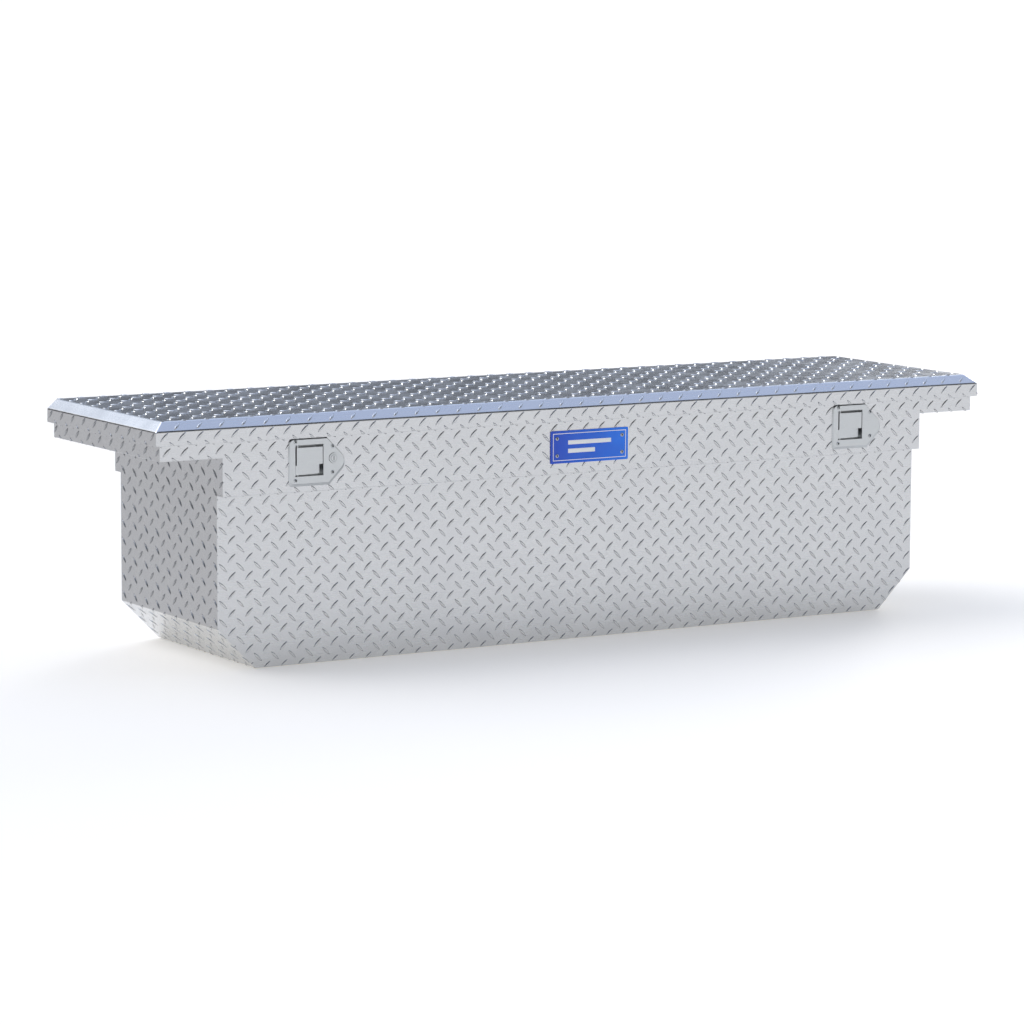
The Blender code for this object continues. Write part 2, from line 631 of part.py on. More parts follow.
def strut(name, tub, lid, side):
    """Cylinder on a stud in the tub, rod up to a stud on the lid."""
    x = side * STRUT_X
    line = STRUT_LID_POINT - STRUT_TUB_POINT
    length = line.length
    opened = Matrix.Rotation(-LID_OPEN_ANGLE, 3, "X") @ (STRUT_LID_POINT - HINGE_POINT) + HINGE_POINT
    stroke = (opened - STRUT_TUB_POINT).length - length
    foot = Vector((x, STRUT_TUB_POINT.y, STRUT_TUB_POINT.z))
    turn = Matrix.Rotation(-math.atan2(line.y, line.z), 4, "X")
    mouth = length - STRUT_BODY_CLEAR
    base = STRUT_EYE_RADIUS + STRUT_ROD_RADIUS
    rod_foot = mouth - stroke - base
    bore = STRUT_ROD_RADIUS + RUNNING
    half = STRUT_EYE_WIDTH / 2

    def placed(bm):
        bm.transform(Matrix.Translation(foot) @ turn)
        return bm

    profile = [(0, STRUT_EYE_RADIUS - 2 * GAP), (STRUT_BODY_RADIUS, base), (STRUT_BODY_RADIUS, mouth)]
    profile += [(bore, mouth), (bore, rod_foot - STRUT_ROD_RADIUS), (0, rod_foot - STRUT_ROD_RADIUS)]
    body = make(f"{name}_strut_cylinder", placed(turned(profile, "Z", (0, 0, 0))), BLACK, foot, tub, True)
    fuse(body, placed(rod(STRUT_EYE_RADIUS, "X", (0, 0, 0), -half, half)))
    carve(body, placed(rod(STUD_RADIUS + RUNNING, "X", (0, 0, 0), -2 * half, 2 * half)))

    bar = rod(STRUT_ROD_RADIUS, "Z", (0, 0, 0), rod_foot, length - STRUT_EYE_RADIUS / 2)
    piston = make(f"{name}_strut_rod", placed(bar), STAINLESS, foot, tub, True)
    fuse(piston, placed(rod(STRUT_EYE_RADIUS, "X", (0, 0, length), -half, half)))

    wall = TUB_X - SHEET - GAP
    size = BRACKET_SIZE / 2
    plate_x = sorted((side * wall, side * (wall - BRACKET_SHEET)))
    low = (plate_x[0], foot.y - size, foot.z - size)
    high = (plate_x[1], foot.y + size, foot.z + size)
    bracket = make(f"{name}_strut_tub_bracket", block(low, high), ZINC, parent=tub)
    stud_x = sorted((side * (wall - BRACKET_SHEET / 2), side * (STRUT_X - half - BRACKET_SHEET / 2)))
    fuse(bracket, rod(STUD_RADIUS, "X", (0, foot.y, foot.z), *stud_x))

    head_y, head_z = STRUT_LID_POINT.y, STRUT_LID_POINT.z
    leg_x = STRUT_X + half + 4 * GAP + BRACKET_SHEET
    seat = sorted((side * leg_x, side * (leg_x + BRACKET_SIZE / 2)))
    base_z = PAN_Z - GAP
    low = (seat[0], head_y - size, base_z - BRACKET_SHEET)
    lid_bracket = make(f"{name}_strut_lid_bracket", block(low, (seat[1], head_y + size, base_z)), ZINC,
                       HINGE_POINT, lid)
    leg = sorted((side * leg_x, side * (leg_x + BRACKET_SHEET)))
    drop = block((leg[0], head_y - size / 2, head_z - STRUT_EYE_RADIUS),
                 (leg[1], head_y + size / 2, base_z - BRACKET_SHEET / 2))
    nub = sorted((side * (leg_x - BRACKET_SHEET), side * (leg_x + BRACKET_SHEET / 2)))
    fuse(lid_bracket, drop, rod(STUD_RADIUS, "X", (0, head_y, head_z), *nub))


# Latches

def latch_plate(name, tub, left_edge, has_lock):
    """Raised plate with its pocket behind it."""
    outer = nose_outline(0, PLATE_NOSE, 0, PLATE_HEIGHT, LOWER_CUT, UPPER_CUT, PLATE_CORNER)
    bottom, top = FACE_BOTTOM_INSET, PLATE_HEIGHT - FACE_INSET
    lower_cut = LOWER_CUT - FACE_LOWER_CUT_SHIFT + bottom
    upper_cut = UPPER_CUT + FACE_INSET - FACE_UPPER_CUT_SHIFT
    face = nose_outline(FACE_INSET, PLATE_NOSE - FACE_NOSE_INSET, bottom, top, lower_cut, upper_cut, PLATE_CORNER)
    back = [Vector((left_edge + u, FRONT_Y - GAP, LATCH_Z + v)) for u, v in outer]
    front = [Vector((left_edge + u, FRONT_Y - PLATE_RISE, LATCH_Z + v)) for u, v in face]
    obj = make(name, loft([back, front]), STAINLESS, parent=tub)
    fuse(obj, pocket_opening(left_edge, POCKET_WALL, (-2 * GAP, POCKET_DEPTH + POCKET_WALL)))
    carve(obj, pocket_opening(left_edge, 0, (-2 * PLATE_RISE, POCKET_DEPTH)))
    swing = TAIL_LENGTH * math.sin(PADDLE_ANGLE)
    slot_u = (PADDLE_PIN_U - TAIL_WIDTH, PADDLE_PIN_U + swing + GAP)
    tail_v = ROD_RAISE + TAIL_RAISE
    slot_v = (tail_v - 2 * GAP, tail_v + TAIL_HEIGHT + 2 * GAP)
    carve(obj, latch_block(left_edge, slot_u, (POCKET_DEPTH - POCKET_WALL, POCKET_DEPTH + 2 * POCKET_WALL), slot_v))
    pin_reach = POCKET_WALL + GAP
    pin_ends = (LATCH_Z + POCKET_BOTTOM - pin_reach, LATCH_Z + POCKET_TOP + pin_reach)
    pin_radius = PADDLE_PIN_RADIUS + RUNNING
    carve(obj, rod(pin_radius, "Z", (left_edge + PADDLE_PIN_U, PADDLE_PIN_Y, 0), *pin_ends, 12))
    through = (FRONT_Y - 2 * PLATE_RISE, FRONT_Y + SHEET)
    holes = rivet_holes(latch_rivet_places(left_edge), *through)
    if has_lock:
        holes.append(lock_hole(*through))
    carve(obj, gathered(holes))


def paddle(name, tub, left_edge):
    """Plate with a finger ramp, a barrel on its pin and a tail back to the lock rod."""
    pin = Vector((left_edge + PADDLE_PIN_U, PADDLE_PIN_Y, LATCH_Z))
    front = -PLATE_RISE + PADDLE_RECESS
    bottom, top = POCKET_BOTTOM + PADDLE_BOTTOM_GAP, POCKET_TOP - PADDLE_TOP_GAP
    left, right = POCKET_LEFT + PADDLE_LEFT_GAP, POCKET_RIGHT - PADDLE_SIDE_GAP
    tab_left = POCKET_LEFT + PADDLE_SIDE_GAP
    notch_left, notch_top = POCKET_RIGHT - NOTCH_WIDTH, bottom + NOTCH_HEIGHT
    outline = [(tab_left, bottom), (notch_left, bottom), (notch_left, notch_top), (right, notch_top)]
    outline += [(right, top), (left, top), (left, bottom + PADDLE_TAB_HEIGHT)]
    outline += [(tab_left, bottom + PADDLE_TAB_HEIGHT)]
    faces = (FRONT_Y + front, FRONT_Y + front + PADDLE_SHEET)
    plate = prism([(left_edge + u, LATCH_Z + v) for u, v in outline], "Y", *faces)
    obj = make(name, plate, STAINLESS, pin, tub)
    ramp_end = POCKET_RIGHT - NOTCH_SLOT
    root = notch_left - PADDLE_SHEET
    ramp = [(root, front), (notch_left, front), (ramp_end, front + RAMP_DEPTH)]
    ramp += [(ramp_end, front + RAMP_DEPTH + PADDLE_SHEET), (notch_left, front + PADDLE_SHEET + GAP)]
    ramp += [(root, front + PADDLE_SHEET + GAP)]
    ramp_top = notch_top + PADDLE_SHEET
    ramp_z = (LATCH_Z + bottom + GAP, LATCH_Z + ramp_top)
    outline = [(left_edge + u, FRONT_Y + y) for u, y in ramp]
    fuse(obj, prism(outline, "Z", *ramp_z))
    barrel = (pin.x, pin.y, 0)
    fuse(obj, rod(PADDLE_BARREL_RADIUS, "Z", barrel, LATCH_Z + bottom, LATCH_Z + top, 16))
    wall = (PADDLE_BARREL_RADIUS + PADDLE_PIN_RADIUS + RUNNING) / 2
    tail_z = ROD_Z + TAIL_RAISE
    low = (pin.x - TAIL_WIDTH / 2, pin.y + wall, tail_z)
    fuse(obj, block(low, (pin.x + TAIL_WIDTH / 2, ROD_Y - TAIL_BOSS_RADIUS / 2, tail_z + TAIL_HEIGHT)))
    fuse(obj, rod(TAIL_BOSS_RADIUS, "Z", (pin.x, ROD_Y, 0), tail_z - GAP, tail_z + TAIL_HEIGHT + GAP, 12))
    bore = PADDLE_PIN_RADIUS + RUNNING
    carve(obj, rod(bore, "Z", barrel, LATCH_Z + bottom - GAP, LATCH_Z + top + GAP, 12))


def paddle_pin(name, tub, left_edge):
    place = (left_edge + PADDLE_PIN_U, PADDLE_PIN_Y, 0)
    ends = (LATCH_Z + POCKET_BOTTOM - POCKET_WALL, LATCH_Z + POCKET_TOP + POCKET_WALL)
    make(name, rod(PADDLE_PIN_RADIUS, "Z", place, *ends, 12), STAINLESS, parent=tub, smooth=True)


def latch_case(name, tub, left_edge):
    """Channel behind the pocket, which holds the hook's and the pawl's pins."""
    x = left_edge + HOOK_PIN_ACROSS
    y0, y1 = FRONT_Y + CASE_BACK, FRONT_Y + CASE_BACK + CASE_DEPTH
    z0, z1 = HOOK_Z - CASE_BOTTOM, HOOK_Z + CASE_TOP
    channel = folded([(y0, z1), (y0, z0), (y1, z0), (y1, z1)], CASE_SHEET)
    obj = make(name, prism(channel, "X", x - CASE_LEFT, x + CASE_RIGHT), ZINC, parent=tub)
    low = (x + CASE_WEB_END, y0 + CASE_SHEET, z0 - CASE_SHEET)
    high = (x + CASE_RIGHT + CASE_SHEET, y1 - CASE_SHEET, z0 + 2 * CASE_SHEET)
    hook_hole = rod(HOOK_PIN_RADIUS + RUNNING, "Y", (x, 0, HOOK_Z), y0 - CASE_SHEET, y1 + CASE_SHEET)
    pawl_place = (x + PAWL_ACROSS, 0, PAWL_Z)
    pawl_hole = rod(PAWL_PIN_RADIUS + RUNNING, "Y", pawl_place, y0 - CASE_SHEET, y1 + CASE_SHEET)
    carve(obj, gathered([block(low, high), hook_hole, pawl_hole]))


def hook(name, tub, left_edge):
    """Hook that swings over the striker's bar; drawn let go, clear of the bar's way out."""
    x = left_edge + HOOK_PIN_ACROSS
    centre = (x, HOOK_Z)
    outline = arc(centre, HOOK_OUTER_RADIUS, 104, 157, 8)
    outline += arc(centre, HOOK_HUB_RADIUS, 185, 500, 14)
    outline += arc(centre, HOOK_INNER_RADIUS, 143, 104, 6)
    sheet = prism(outline, "Y", HOOK_Y, HOOK_Y + HOOK_SHEET)
    obj = make(name, sheet, ZINC, (x, HOOK_Y, HOOK_Z), tub)
    bore = HOOK_PIN_RADIUS + RUNNING
    carve(obj, rod(bore, "Y", (x, 0, HOOK_Z), HOOK_Y - HOOK_SHEET, HOOK_Y + 2 * HOOK_SHEET))


def pawl(name, tub, left_edge):
    """Lever whose nose rides on the hook's hub and whose tail stands in the rod's fork."""
    x, z = left_edge + HOOK_PIN_ACROSS + PAWL_ACROSS, PAWL_Z
    y0, y1 = HOOK_Y, HOOK_Y + HOOK_SHEET
    reach = math.hypot(PAWL_ACROSS, PAWL_BELOW) - HOOK_HUB_RADIUS - PAWL_GAP
    obj = make(name, rod(PAWL_HUB_RADIUS, "Y", (x, 0, z), y0, y1), ZINC, (x, HOOK_Y, z), tub)
    slim = HOOK_SHEET / 2 - GAP
    middle = (y0 + y1) / 2
    bore = PAWL_PIN_RADIUS + RUNNING
    wall = (PAWL_HUB_RADIUS + bore) / 2
    nose = block((-reach, -slim, -slim), (-wall, slim, slim))
    lean = Matrix.Rotation(math.atan2(PAWL_BELOW, PAWL_ACROSS), 4, "Y")
    nose.transform(Matrix.Translation((x, middle, z)) @ lean)
    boss_z = ROD_Z + PAWL_BOSS_RAISE
    tail = block((x - slim, middle - slim, boss_z), (x + slim, middle + slim, z - wall))
    fuse(obj, nose, tail, rod(PAWL_BOSS_RADIUS, "Y", (x, 0, boss_z), y0, y1, 12))
    carve(obj, rod(bore, "Y", (x, 0, z), y0 - slim, y1 + slim))


def lock_rod(tub):
    """Round rod behind both latches, with a fork for each tail and a stop for the cam."""
    left = LATCH_LEFT_EDGES["left"]
    right = LATCH_LEFT_EDGES["right"]
    x0 = left + PADDLE_PIN_U - ROD_OVERRUN
    x1 = right + HOOK_PIN_ACROSS + PAWL_ACROSS + ROD_OVERRUN
    centre = (0, ROD_Y, ROD_Z)
    obj = make("lock_rod", rod(ROD_RADIUS, "X", centre, x0, x1, 16), ZINC, (0, ROD_Y, ROD_Z), tub)
    prongs = []
    for edge in (left, right):
        tails = ((edge + PADDLE_PIN_U, TAIL_BOSS_RADIUS),)
        tails += ((edge + HOOK_PIN_ACROSS + PAWL_ACROSS, PAWL_BOSS_RADIUS),)
        for x, boss in tails:
            for side in (-1, 1):
                near, far = sorted((x + side * (boss + FORK_PLAY), x + side * (boss + FORK_PLAY + FORK_PRONG)))
                low = (near, ROD_Y - FORK_DEPTH / 2, ROD_Z + ROD_RADIUS / 2)
                prongs.append(block(low, (far, ROD_Y + FORK_DEPTH / 2, ROD_Z + FORK_TOP)))
    cam_left = left + LOCK_ACROSS - CAM_HALF_WIDTH
    low = (cam_left - 2 * GAP - LOCK_STOP_WIDTH, ROD_Y - FORK_DEPTH / 2, ROD_Z + ROD_RADIUS / 2)
    prongs.append(block(low, (cam_left - 2 * GAP, ROD_Y + ROD_RADIUS, ROD_Z + LOCK_STOP_TOP)))
    fuse(obj, gathered(prongs))


def rod_guide(name, tub, x):
    """Block behind the front panel that the lock rod slides through."""
    low = (x - GUIDE_WIDTH / 2, INNER_FRONT_Y, ROD_Z - 2 * ROD_RADIUS)
    high = (x + GUIDE_WIDTH / 2, ROD_Y + 2 * ROD_RADIUS, ROD_Z + 2 * ROD_RADIUS)
    obj = make(name, block(low, high), BLACK, parent=tub)
    bore = ROD_RADIUS + RUNNING
    carve(obj, rod(bore, "X", (0, ROD_Y, ROD_Z), x - GUIDE_WIDTH, x + GUIDE_WIDTH, 16))


def key_cylinder(tub):
    """Barrel, turning plug with its key slot, and the cam that stops the lock rod."""
    x, z = LATCH_LEFT_EDGES["left"] + LOCK_ACROSS, LATCH_Z + LOCK_RAISE
    face = FRONT_Y - PLATE_RISE - LOCK_PROUD
    rear = FRONT_Y + LOCK_REAR
    barrel = tube(LOCK_RADIUS, PLUG_RADIUS + RUNNING, "Y", (x, 0, z), face, rear, 24)
    make("lock_barrel", barrel, STAINLESS, parent=tub, smooth=True)
    end = rear + PLUG_STUD_LENGTH
    profile = [(0, face - GAP), (PLUG_RADIUS, face - GAP), (PLUG_RADIUS, rear + GAP)]
    profile += [(PLUG_STUD_RADIUS, rear + GAP), (PLUG_STUD_RADIUS, end), (0, end)]
    plug = make("lock_plug", turned(profile, "Y", (x, 0, z), 20), STAINLESS, (x, face, z), tub, True)
    half_w, half_h = KEY_SLOT_WIDTH / 2, KEY_SLOT_HEIGHT / 2
    carve(plug, block((x - half_w, face - half_h, z - half_h), (x + half_w, face + KEY_SLOT_DEPTH, z + half_h)))
    y0, y1 = rear + 2 * GAP + GAP, rear + 3 * GAP + CAM_SHEET
    hub = tube(CAM_HUB_RADIUS, PLUG_STUD_RADIUS + RUNNING, "Y", (x, 0, z), y0, y1)
    cam = make("lock_cam", hub, ZINC, (x, face, z), tub)
    wall = (CAM_HUB_RADIUS + PLUG_STUD_RADIUS + RUNNING) / 2
    fuse(cam, block((x + wall, y0 + GAP, z - CAM_HALF_WIDTH), (x + CAM_REACH, y1 - GAP, z + CAM_HALF_WIDTH)))


def rivet(name, tub, x, z, face):
    """Blind rivet: domed head on the face, shank through, set tail behind the panel."""
    seat = face - GAP
    tail = FRONT_Y + SHEET + GAP
    dome = [(RIVET_HEAD_RADIUS * math.cos(t), -RIVET_HEAD_HEIGHT * math.sin(t)) for t in (0, 0.6, 1.1)]
    profile = [(0, seat - RIVET_HEAD_HEIGHT)] + [(r, seat + h) for r, h in reversed(dome)]
    profile += [(RIVET_RADIUS, seat), (RIVET_RADIUS, tail), (RIVET_TAIL_RADIUS, tail + GAP)]
    profile += [(RIVET_TAIL_RADIUS, tail + RIVET_TAIL_LENGTH / 2), (0, tail + RIVET_TAIL_LENGTH)]
    make(name, turned(profile, "Y", (x, 0, z), 10), STAINLESS, (x, face, z), tub, True)


def latch(side, tub, lid):
    left_edge = LATCH_LEFT_EDGES[side]
    latch_plate(f"{side}_latch_plate", tub, left_edge, side == "left")
    paddle(f"{side}_paddle", tub, left_edge)
    paddle_pin(f"{side}_paddle_pin", tub, left_edge)
    latch_case(f"{side}_latch_case", tub, left_edge)
    hook(f"{side}_hook", tub, left_edge)
    pawl(f"{side}_pawl", tub, left_edge)
    striker(lid, f"{side}_striker", left_edge)
    x = left_edge + HOOK_PIN_ACROSS
    y0, y1 = FRONT_Y + CASE_BACK, FRONT_Y + CASE_BACK + CASE_DEPTH
    hook_pin = rod(HOOK_PIN_RADIUS, "Y", (x, 0, HOOK_Z), y0, y1 + CASE_SHEET / 2)
    make(f"{side}_hook_pin", hook_pin, STAINLESS, parent=tub, smooth=True)
    pawl_pin = rod(PAWL_PIN_RADIUS, "Y", (x + PAWL_ACROSS, 0, PAWL_Z), y0, y1 + CASE_SHEET / 2, 12)
    make(f"{side}_pawl_pin", pawl_pin, STAINLESS, parent=tub, smooth=True)
    for number, (rivet_x, rivet_z) in enumerate(latch_rivet_places(left_edge), 1):
        rivet(f"{side}_latch_rivet_{number}", tub, rivet_x, rivet_z, FRONT_Y - PLATE_RISE)


def badge(tub):
    """Plain enamelled plate, with no lettering, on four rivets."""
    x, z, r = BADGE_LENGTH / 2, BADGE_HEIGHT / 2, BADGE_CORNER
    outline = arc((x - r, z - r), r, 0, 90, 3) + arc((r - x, z - r), r, 90, 180, 3)
    outline += arc((r - x, r - z), r, 180, 270, 3) + arc((x - r, r - z), r, 270, 360, 3)
    face = FRONT_Y - GAP - BADGE_SHEET
    shape = prism([(u, BADGE_Z + v) for u, v in outline], "Y", face, FRONT_Y - GAP)
    obj = make("badge_plate", shape, BLUE, parent=tub)
    carve(obj, gathered(rivet_holes(badge_rivet_places(), face - SHEET, FRONT_Y + SHEET)))
    for number, (rivet_x, rivet_z) in enumerate(badge_rivet_places(), 1):
        rivet(f"badge_rivet_{number}", tub, rivet_x, rivet_z, face)


def build():
    for obj in list(bpy.data.objects):
        bpy.data.objects.remove(obj)
    tub = empty_at("tub_frame", (0, 0, 0))
    lid = empty_at("lid_hinge_line", HINGE_POINT)
    tub_wrap(tub)
    front_panel(tub)
    long_panel("rear_panel", tub, REAR_Y, -1)
    wing("left_wing", tub, -1)
    wing("right_wing", tub, 1)
    weather_seal(tub)
    lid_skin(lid)
    lid_pan(lid)
    lid_core(lid)
    hinge(tub, lid)
    for name, side in (("left", -1), ("right", 1)):
        strut(name, tub, lid, side)
        latch(name, tub, lid)
        rod_guide(f"{name}_rod_guide", tub, side * GUIDE_PLACE)
    lock_rod(tub)
    key_cylinder(tub)
    badge(tub)


build()
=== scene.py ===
import bpy, bmesh, json, math
from mathutils import Matrix, Vector


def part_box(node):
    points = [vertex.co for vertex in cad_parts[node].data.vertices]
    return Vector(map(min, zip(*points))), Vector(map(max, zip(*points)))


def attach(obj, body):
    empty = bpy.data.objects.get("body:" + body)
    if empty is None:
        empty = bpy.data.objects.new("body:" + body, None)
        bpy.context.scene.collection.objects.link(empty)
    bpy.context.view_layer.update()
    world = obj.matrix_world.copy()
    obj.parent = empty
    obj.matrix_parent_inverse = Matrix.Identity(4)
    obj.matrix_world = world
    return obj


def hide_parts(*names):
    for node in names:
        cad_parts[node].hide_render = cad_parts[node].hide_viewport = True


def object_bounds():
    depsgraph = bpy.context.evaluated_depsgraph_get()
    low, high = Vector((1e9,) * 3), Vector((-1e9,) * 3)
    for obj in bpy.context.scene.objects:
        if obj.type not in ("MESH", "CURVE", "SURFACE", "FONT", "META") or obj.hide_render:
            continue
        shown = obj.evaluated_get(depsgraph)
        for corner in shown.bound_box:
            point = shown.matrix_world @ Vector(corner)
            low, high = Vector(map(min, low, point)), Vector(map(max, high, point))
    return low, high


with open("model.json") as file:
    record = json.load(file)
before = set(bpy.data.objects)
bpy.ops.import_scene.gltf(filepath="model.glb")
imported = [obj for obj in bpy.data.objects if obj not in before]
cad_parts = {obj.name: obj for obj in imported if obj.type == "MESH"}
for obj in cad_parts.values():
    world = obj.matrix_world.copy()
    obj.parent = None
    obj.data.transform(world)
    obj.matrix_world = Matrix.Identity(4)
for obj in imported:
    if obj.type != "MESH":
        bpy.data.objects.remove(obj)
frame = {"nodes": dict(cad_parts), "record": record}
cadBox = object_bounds()
nodes = frame["nodes"]
scene = bpy.context.scene
print("frame loaded:", len(nodes), "nodes")


# small helpers used by everything below

# sRGB hex to linear RGBA
def hexColour(text):
    parts = [int(text[i:i + 2], 16) / 255 for i in (1, 3, 5)]
    linear = [c / 12.92 if c <= 0.04045 else ((c + 0.055) / 1.055) ** 2.4 for c in parts]
    return (*linear, 1.0)


# one node, its settings, and its inputs as plain values or as sockets to plug in
def addNode(tree, kind, settings=None, inputs=None):
    node = tree.nodes.new(kind)
    for key, value in (settings or {}).items():
        setattr(node, key, value)
    for key, value in (inputs or {}).items():
        if isinstance(value, bpy.types.NodeSocket):
            tree.links.new(value, node.inputs[key])
        else:
            node.inputs[key].default_value = value
    return node


# an empty material: its shader, and the place on the object that patterns are read at
def startMaterial(name, **values):
    material = bpy.data.materials.new(name)
    material.use_nodes = True
    tree = material.node_tree
    tree.nodes.clear()
    shader = addNode(tree, "ShaderNodeBsdfPrincipled", None, values)
    addNode(tree, "ShaderNodeOutputMaterial", None, {"Surface": shader.outputs[0]})
    place = addNode(tree, "ShaderNodeTexCoord")
    return material, tree, shader, place.outputs["Object"]


def box(low, high):
    bm = bmesh.new()
    bmesh.ops.create_cube(bm, size=1)
    low, high = Vector(low), Vector(high)
    for v in bm.verts:
        v.co = Vector(((low[i] + high[i]) / 2 + v.co[i] * (high[i] - low[i])) for i in range(3))
    return bm


def toObject(name, bm, *materials):
    mesh = bpy.data.meshes.new(name)
    bm.to_mesh(mesh)
    bm.free()
    obj = bpy.data.objects.new(name, mesh)
    scene.collection.objects.link(obj)
    for material in materials:
        mesh.materials.append(material)
    return obj


# applies what is on the modifier stack and leaves a plain mesh
def flatten(obj):
    graph = bpy.context.evaluated_depsgraph_get()
    mesh = bpy.data.meshes.new_from_object(obj.evaluated_get(graph))
    obj.modifiers.clear()
    obj.data = mesh
    return obj


# camera: stands in front and to the left, a little above, with a long lens

view = {
    "place": (-4.06466, -6.69473, 1.26482),
    "right": (0.85710, -0.51513, 0.00443),
    "up": (0.06445, 0.11575, 0.99119),
    "forward": (0.51110, 0.84926, -0.13241),
    "lens": 142.6,
    "sensor": 36,
}
camera = bpy.data.objects.new("camera", bpy.data.cameras.new("camera"))
scene.collection.objects.link(camera)
axes = Matrix((view["right"], view["up"], [-c for c in view["forward"]])).transposed()
camera.matrix_world = Matrix.Translation(view["place"]) @ axes.to_4x4()
camera.data.lens = view["lens"]
camera.data.sensor_width = view["sensor"]
scene.camera = camera

# studio: a pale floor under a soft dome, with two softboxes in the dome
studio = {
    "floorColour": "#DCD6CC",
    "floorGlow": 0.34,      # the floor glows a little, so it stays white and its shadow opens up
    "floorSize": 400,
    "floorDrop": 0.0016,    # just clear of the lugs under the tub
    "strength": 2.0,
    # the dome's colours by height (sine of the elevation): one list for the front, one for the rest
    "front": [(0.0, "#B8B8B8"), (0.25, "#AEAEAE"), (0.38, "#242526"), (0.86, "#242526"), (1.0, "#8F9BB4")],
    "behind": [
        (0.0, "#1E1F20"), (0.14, "#2D2D2E"), (0.30, "#56585B"), (0.44, "#989EA8"),
        (0.54, "#B6C4DC"), (0.64, "#B4C3DE"), (0.76, "#9FABC6"), (1.0, "#9AA6C0"),
    ],
    "change": (-0.5, -0.05),      # the front list fades into the other between these depths
    # direction, full inside this angle, gone outside this one, brightness
    "softboxes": {
        "key": ((-0.45, 0.55, 0.70), 14, 34, 2.7),
        "rimGlint": ((0.74, 0.62, 0.26), 6, 13, 9.0),
    },
}
world = bpy.data.worlds.new("studioWorld")
world.use_nodes = True
tree = world.node_tree
background = tree.nodes["Background"]
direction = addNode(tree, "ShaderNodeTexCoord").outputs["Generated"]
height = addNode(tree, "ShaderNodeSeparateXYZ", None, {0: direction}).outputs
halves = []
for half in ("front", "behind"):
    ramp = addNode(tree, "ShaderNodeValToRGB", None, {0: height["Z"]})
    stops = ramp.color_ramp.elements
    stops.remove(stops[1])
    for number, (up, colour) in enumerate(studio[half]):
        stop = stops.new(up) if number else stops[0]
        stop.position, stop.color = up, hexColour(colour)
    halves.append(ramp.outputs[0])
backness = addNode(tree, "ShaderNodeMapRange", {"interpolation_type": "SMOOTHSTEP"}, {
    "From Min": studio["change"][0], "From Max": studio["change"][1], "Value": height["Y"]})
sky = addNode(tree, "ShaderNodeMix", {"data_type": "RGBA"}, {
    0: backness.outputs[0], 6: halves[0], 7: halves[1]}).outputs[2]
for aim, inner, outer, brightness in studio["softboxes"].values():
    near = addNode(tree, "ShaderNodeVectorMath", {"operation": "DOT_PRODUCT"}, {
        0: direction, 1: Vector(aim).normalized()})
    patch = addNode(tree, "ShaderNodeMapRange", {"interpolation_type": "SMOOTHSTEP"}, {
        "From Min": math.cos(math.radians(outer)), "From Max": math.cos(math.radians(inner)),
        "To Max": brightness / studio["strength"], "Value": near.outputs["Value"]})
    sky = addNode(tree, "ShaderNodeVectorMath", {"operation": "ADD"}, {
        0: sky, 1: patch.outputs[0]}).outputs[0]
tree.links.new(sky, background.inputs["Color"])
background.inputs["Strength"].default_value = studio["strength"]
scene.world = world
scene.view_settings.view_transform = "Standard"

floorMaterial, tree, shader, place = startMaterial("paintedStudioFloor", Roughness=0.7)
shader.inputs["Base Color"].default_value = hexColour(studio["floorColour"])
shader.inputs["Emission Color"].default_value = hexColour("#FFFFFF")
shader.inputs["Emission Strength"].default_value = studio["floorGlow"]
bm = bmesh.new()
bmesh.ops.create_grid(bm, x_segments=1, y_segments=1, size=studio["floorSize"])
floor = toObject("studioFloor", bm, floorMaterial)
floor.location.z = cadBox[0][2] - studio["floorDrop"]
print("camera and studio ready")


# materials: grain sizes in metres, colours from deeper to paler, roughness from smoother to duller

# Bright rolled aluminium: a pale mirror broken by fine rolling lines and handling haze
rolled = {"line": 0.0016, "stretch": 0.04, "haze": 0.06, "uneven": 0.05, "bump": 0.12, "depth": 0.0002}


def treadAluminium(name, low, high, smooth, rough):
    material, tree, shader, place = startMaterial(name, Metallic=1.0)
    stretched = addNode(tree, "ShaderNodeMapping", None, {
        "Scale": (rolled["stretch"], 1.0, 1.0), "Vector": place})
    lines = addNode(tree, "ShaderNodeTexNoise", None, {
        "Scale": 1 / rolled["line"], "Detail": 3.0, "Vector": stretched.outputs[0]}).outputs["Fac"]
    haze = addNode(tree, "ShaderNodeTexNoise", None, {
        "Scale": 1 / rolled["haze"], "Detail": 4.0, "Vector": place}).outputs["Fac"]
    tint = addNode(tree, "ShaderNodeMix", {"data_type": "RGBA"}, {
        6: hexColour(low), 7: hexColour(high), 0: haze})
    tree.links.new(tint.outputs[2], shader.inputs["Base Color"])
    fine = addNode(tree, "ShaderNodeMapRange", None, {
        "Value": lines, "To Min": -rolled["uneven"], "To Max": rolled["uneven"]})
    broad = addNode(tree, "ShaderNodeMapRange", None, {"Value": haze, "To Min": smooth, "To Max": rough})
    both = addNode(tree, "ShaderNodeMath", {"operation": "ADD"}, {0: fine.outputs[0], 1: broad.outputs[0]})
    tree.links.new(both.outputs[0], shader.inputs["Roughness"])
    bump = addNode(tree, "ShaderNodeBump", None, {
        "Strength": rolled["bump"], "Distance": rolled["depth"], "Height": lines})
    tree.links.new(bump.outputs[0], shader.inputs["Normal"])
    return material


# The lugs' crowns are burnished by the roll, so they are a little smoother than the sheet
burnished = {"wear": 0.009, "roughness": (0.12, 0.24)}


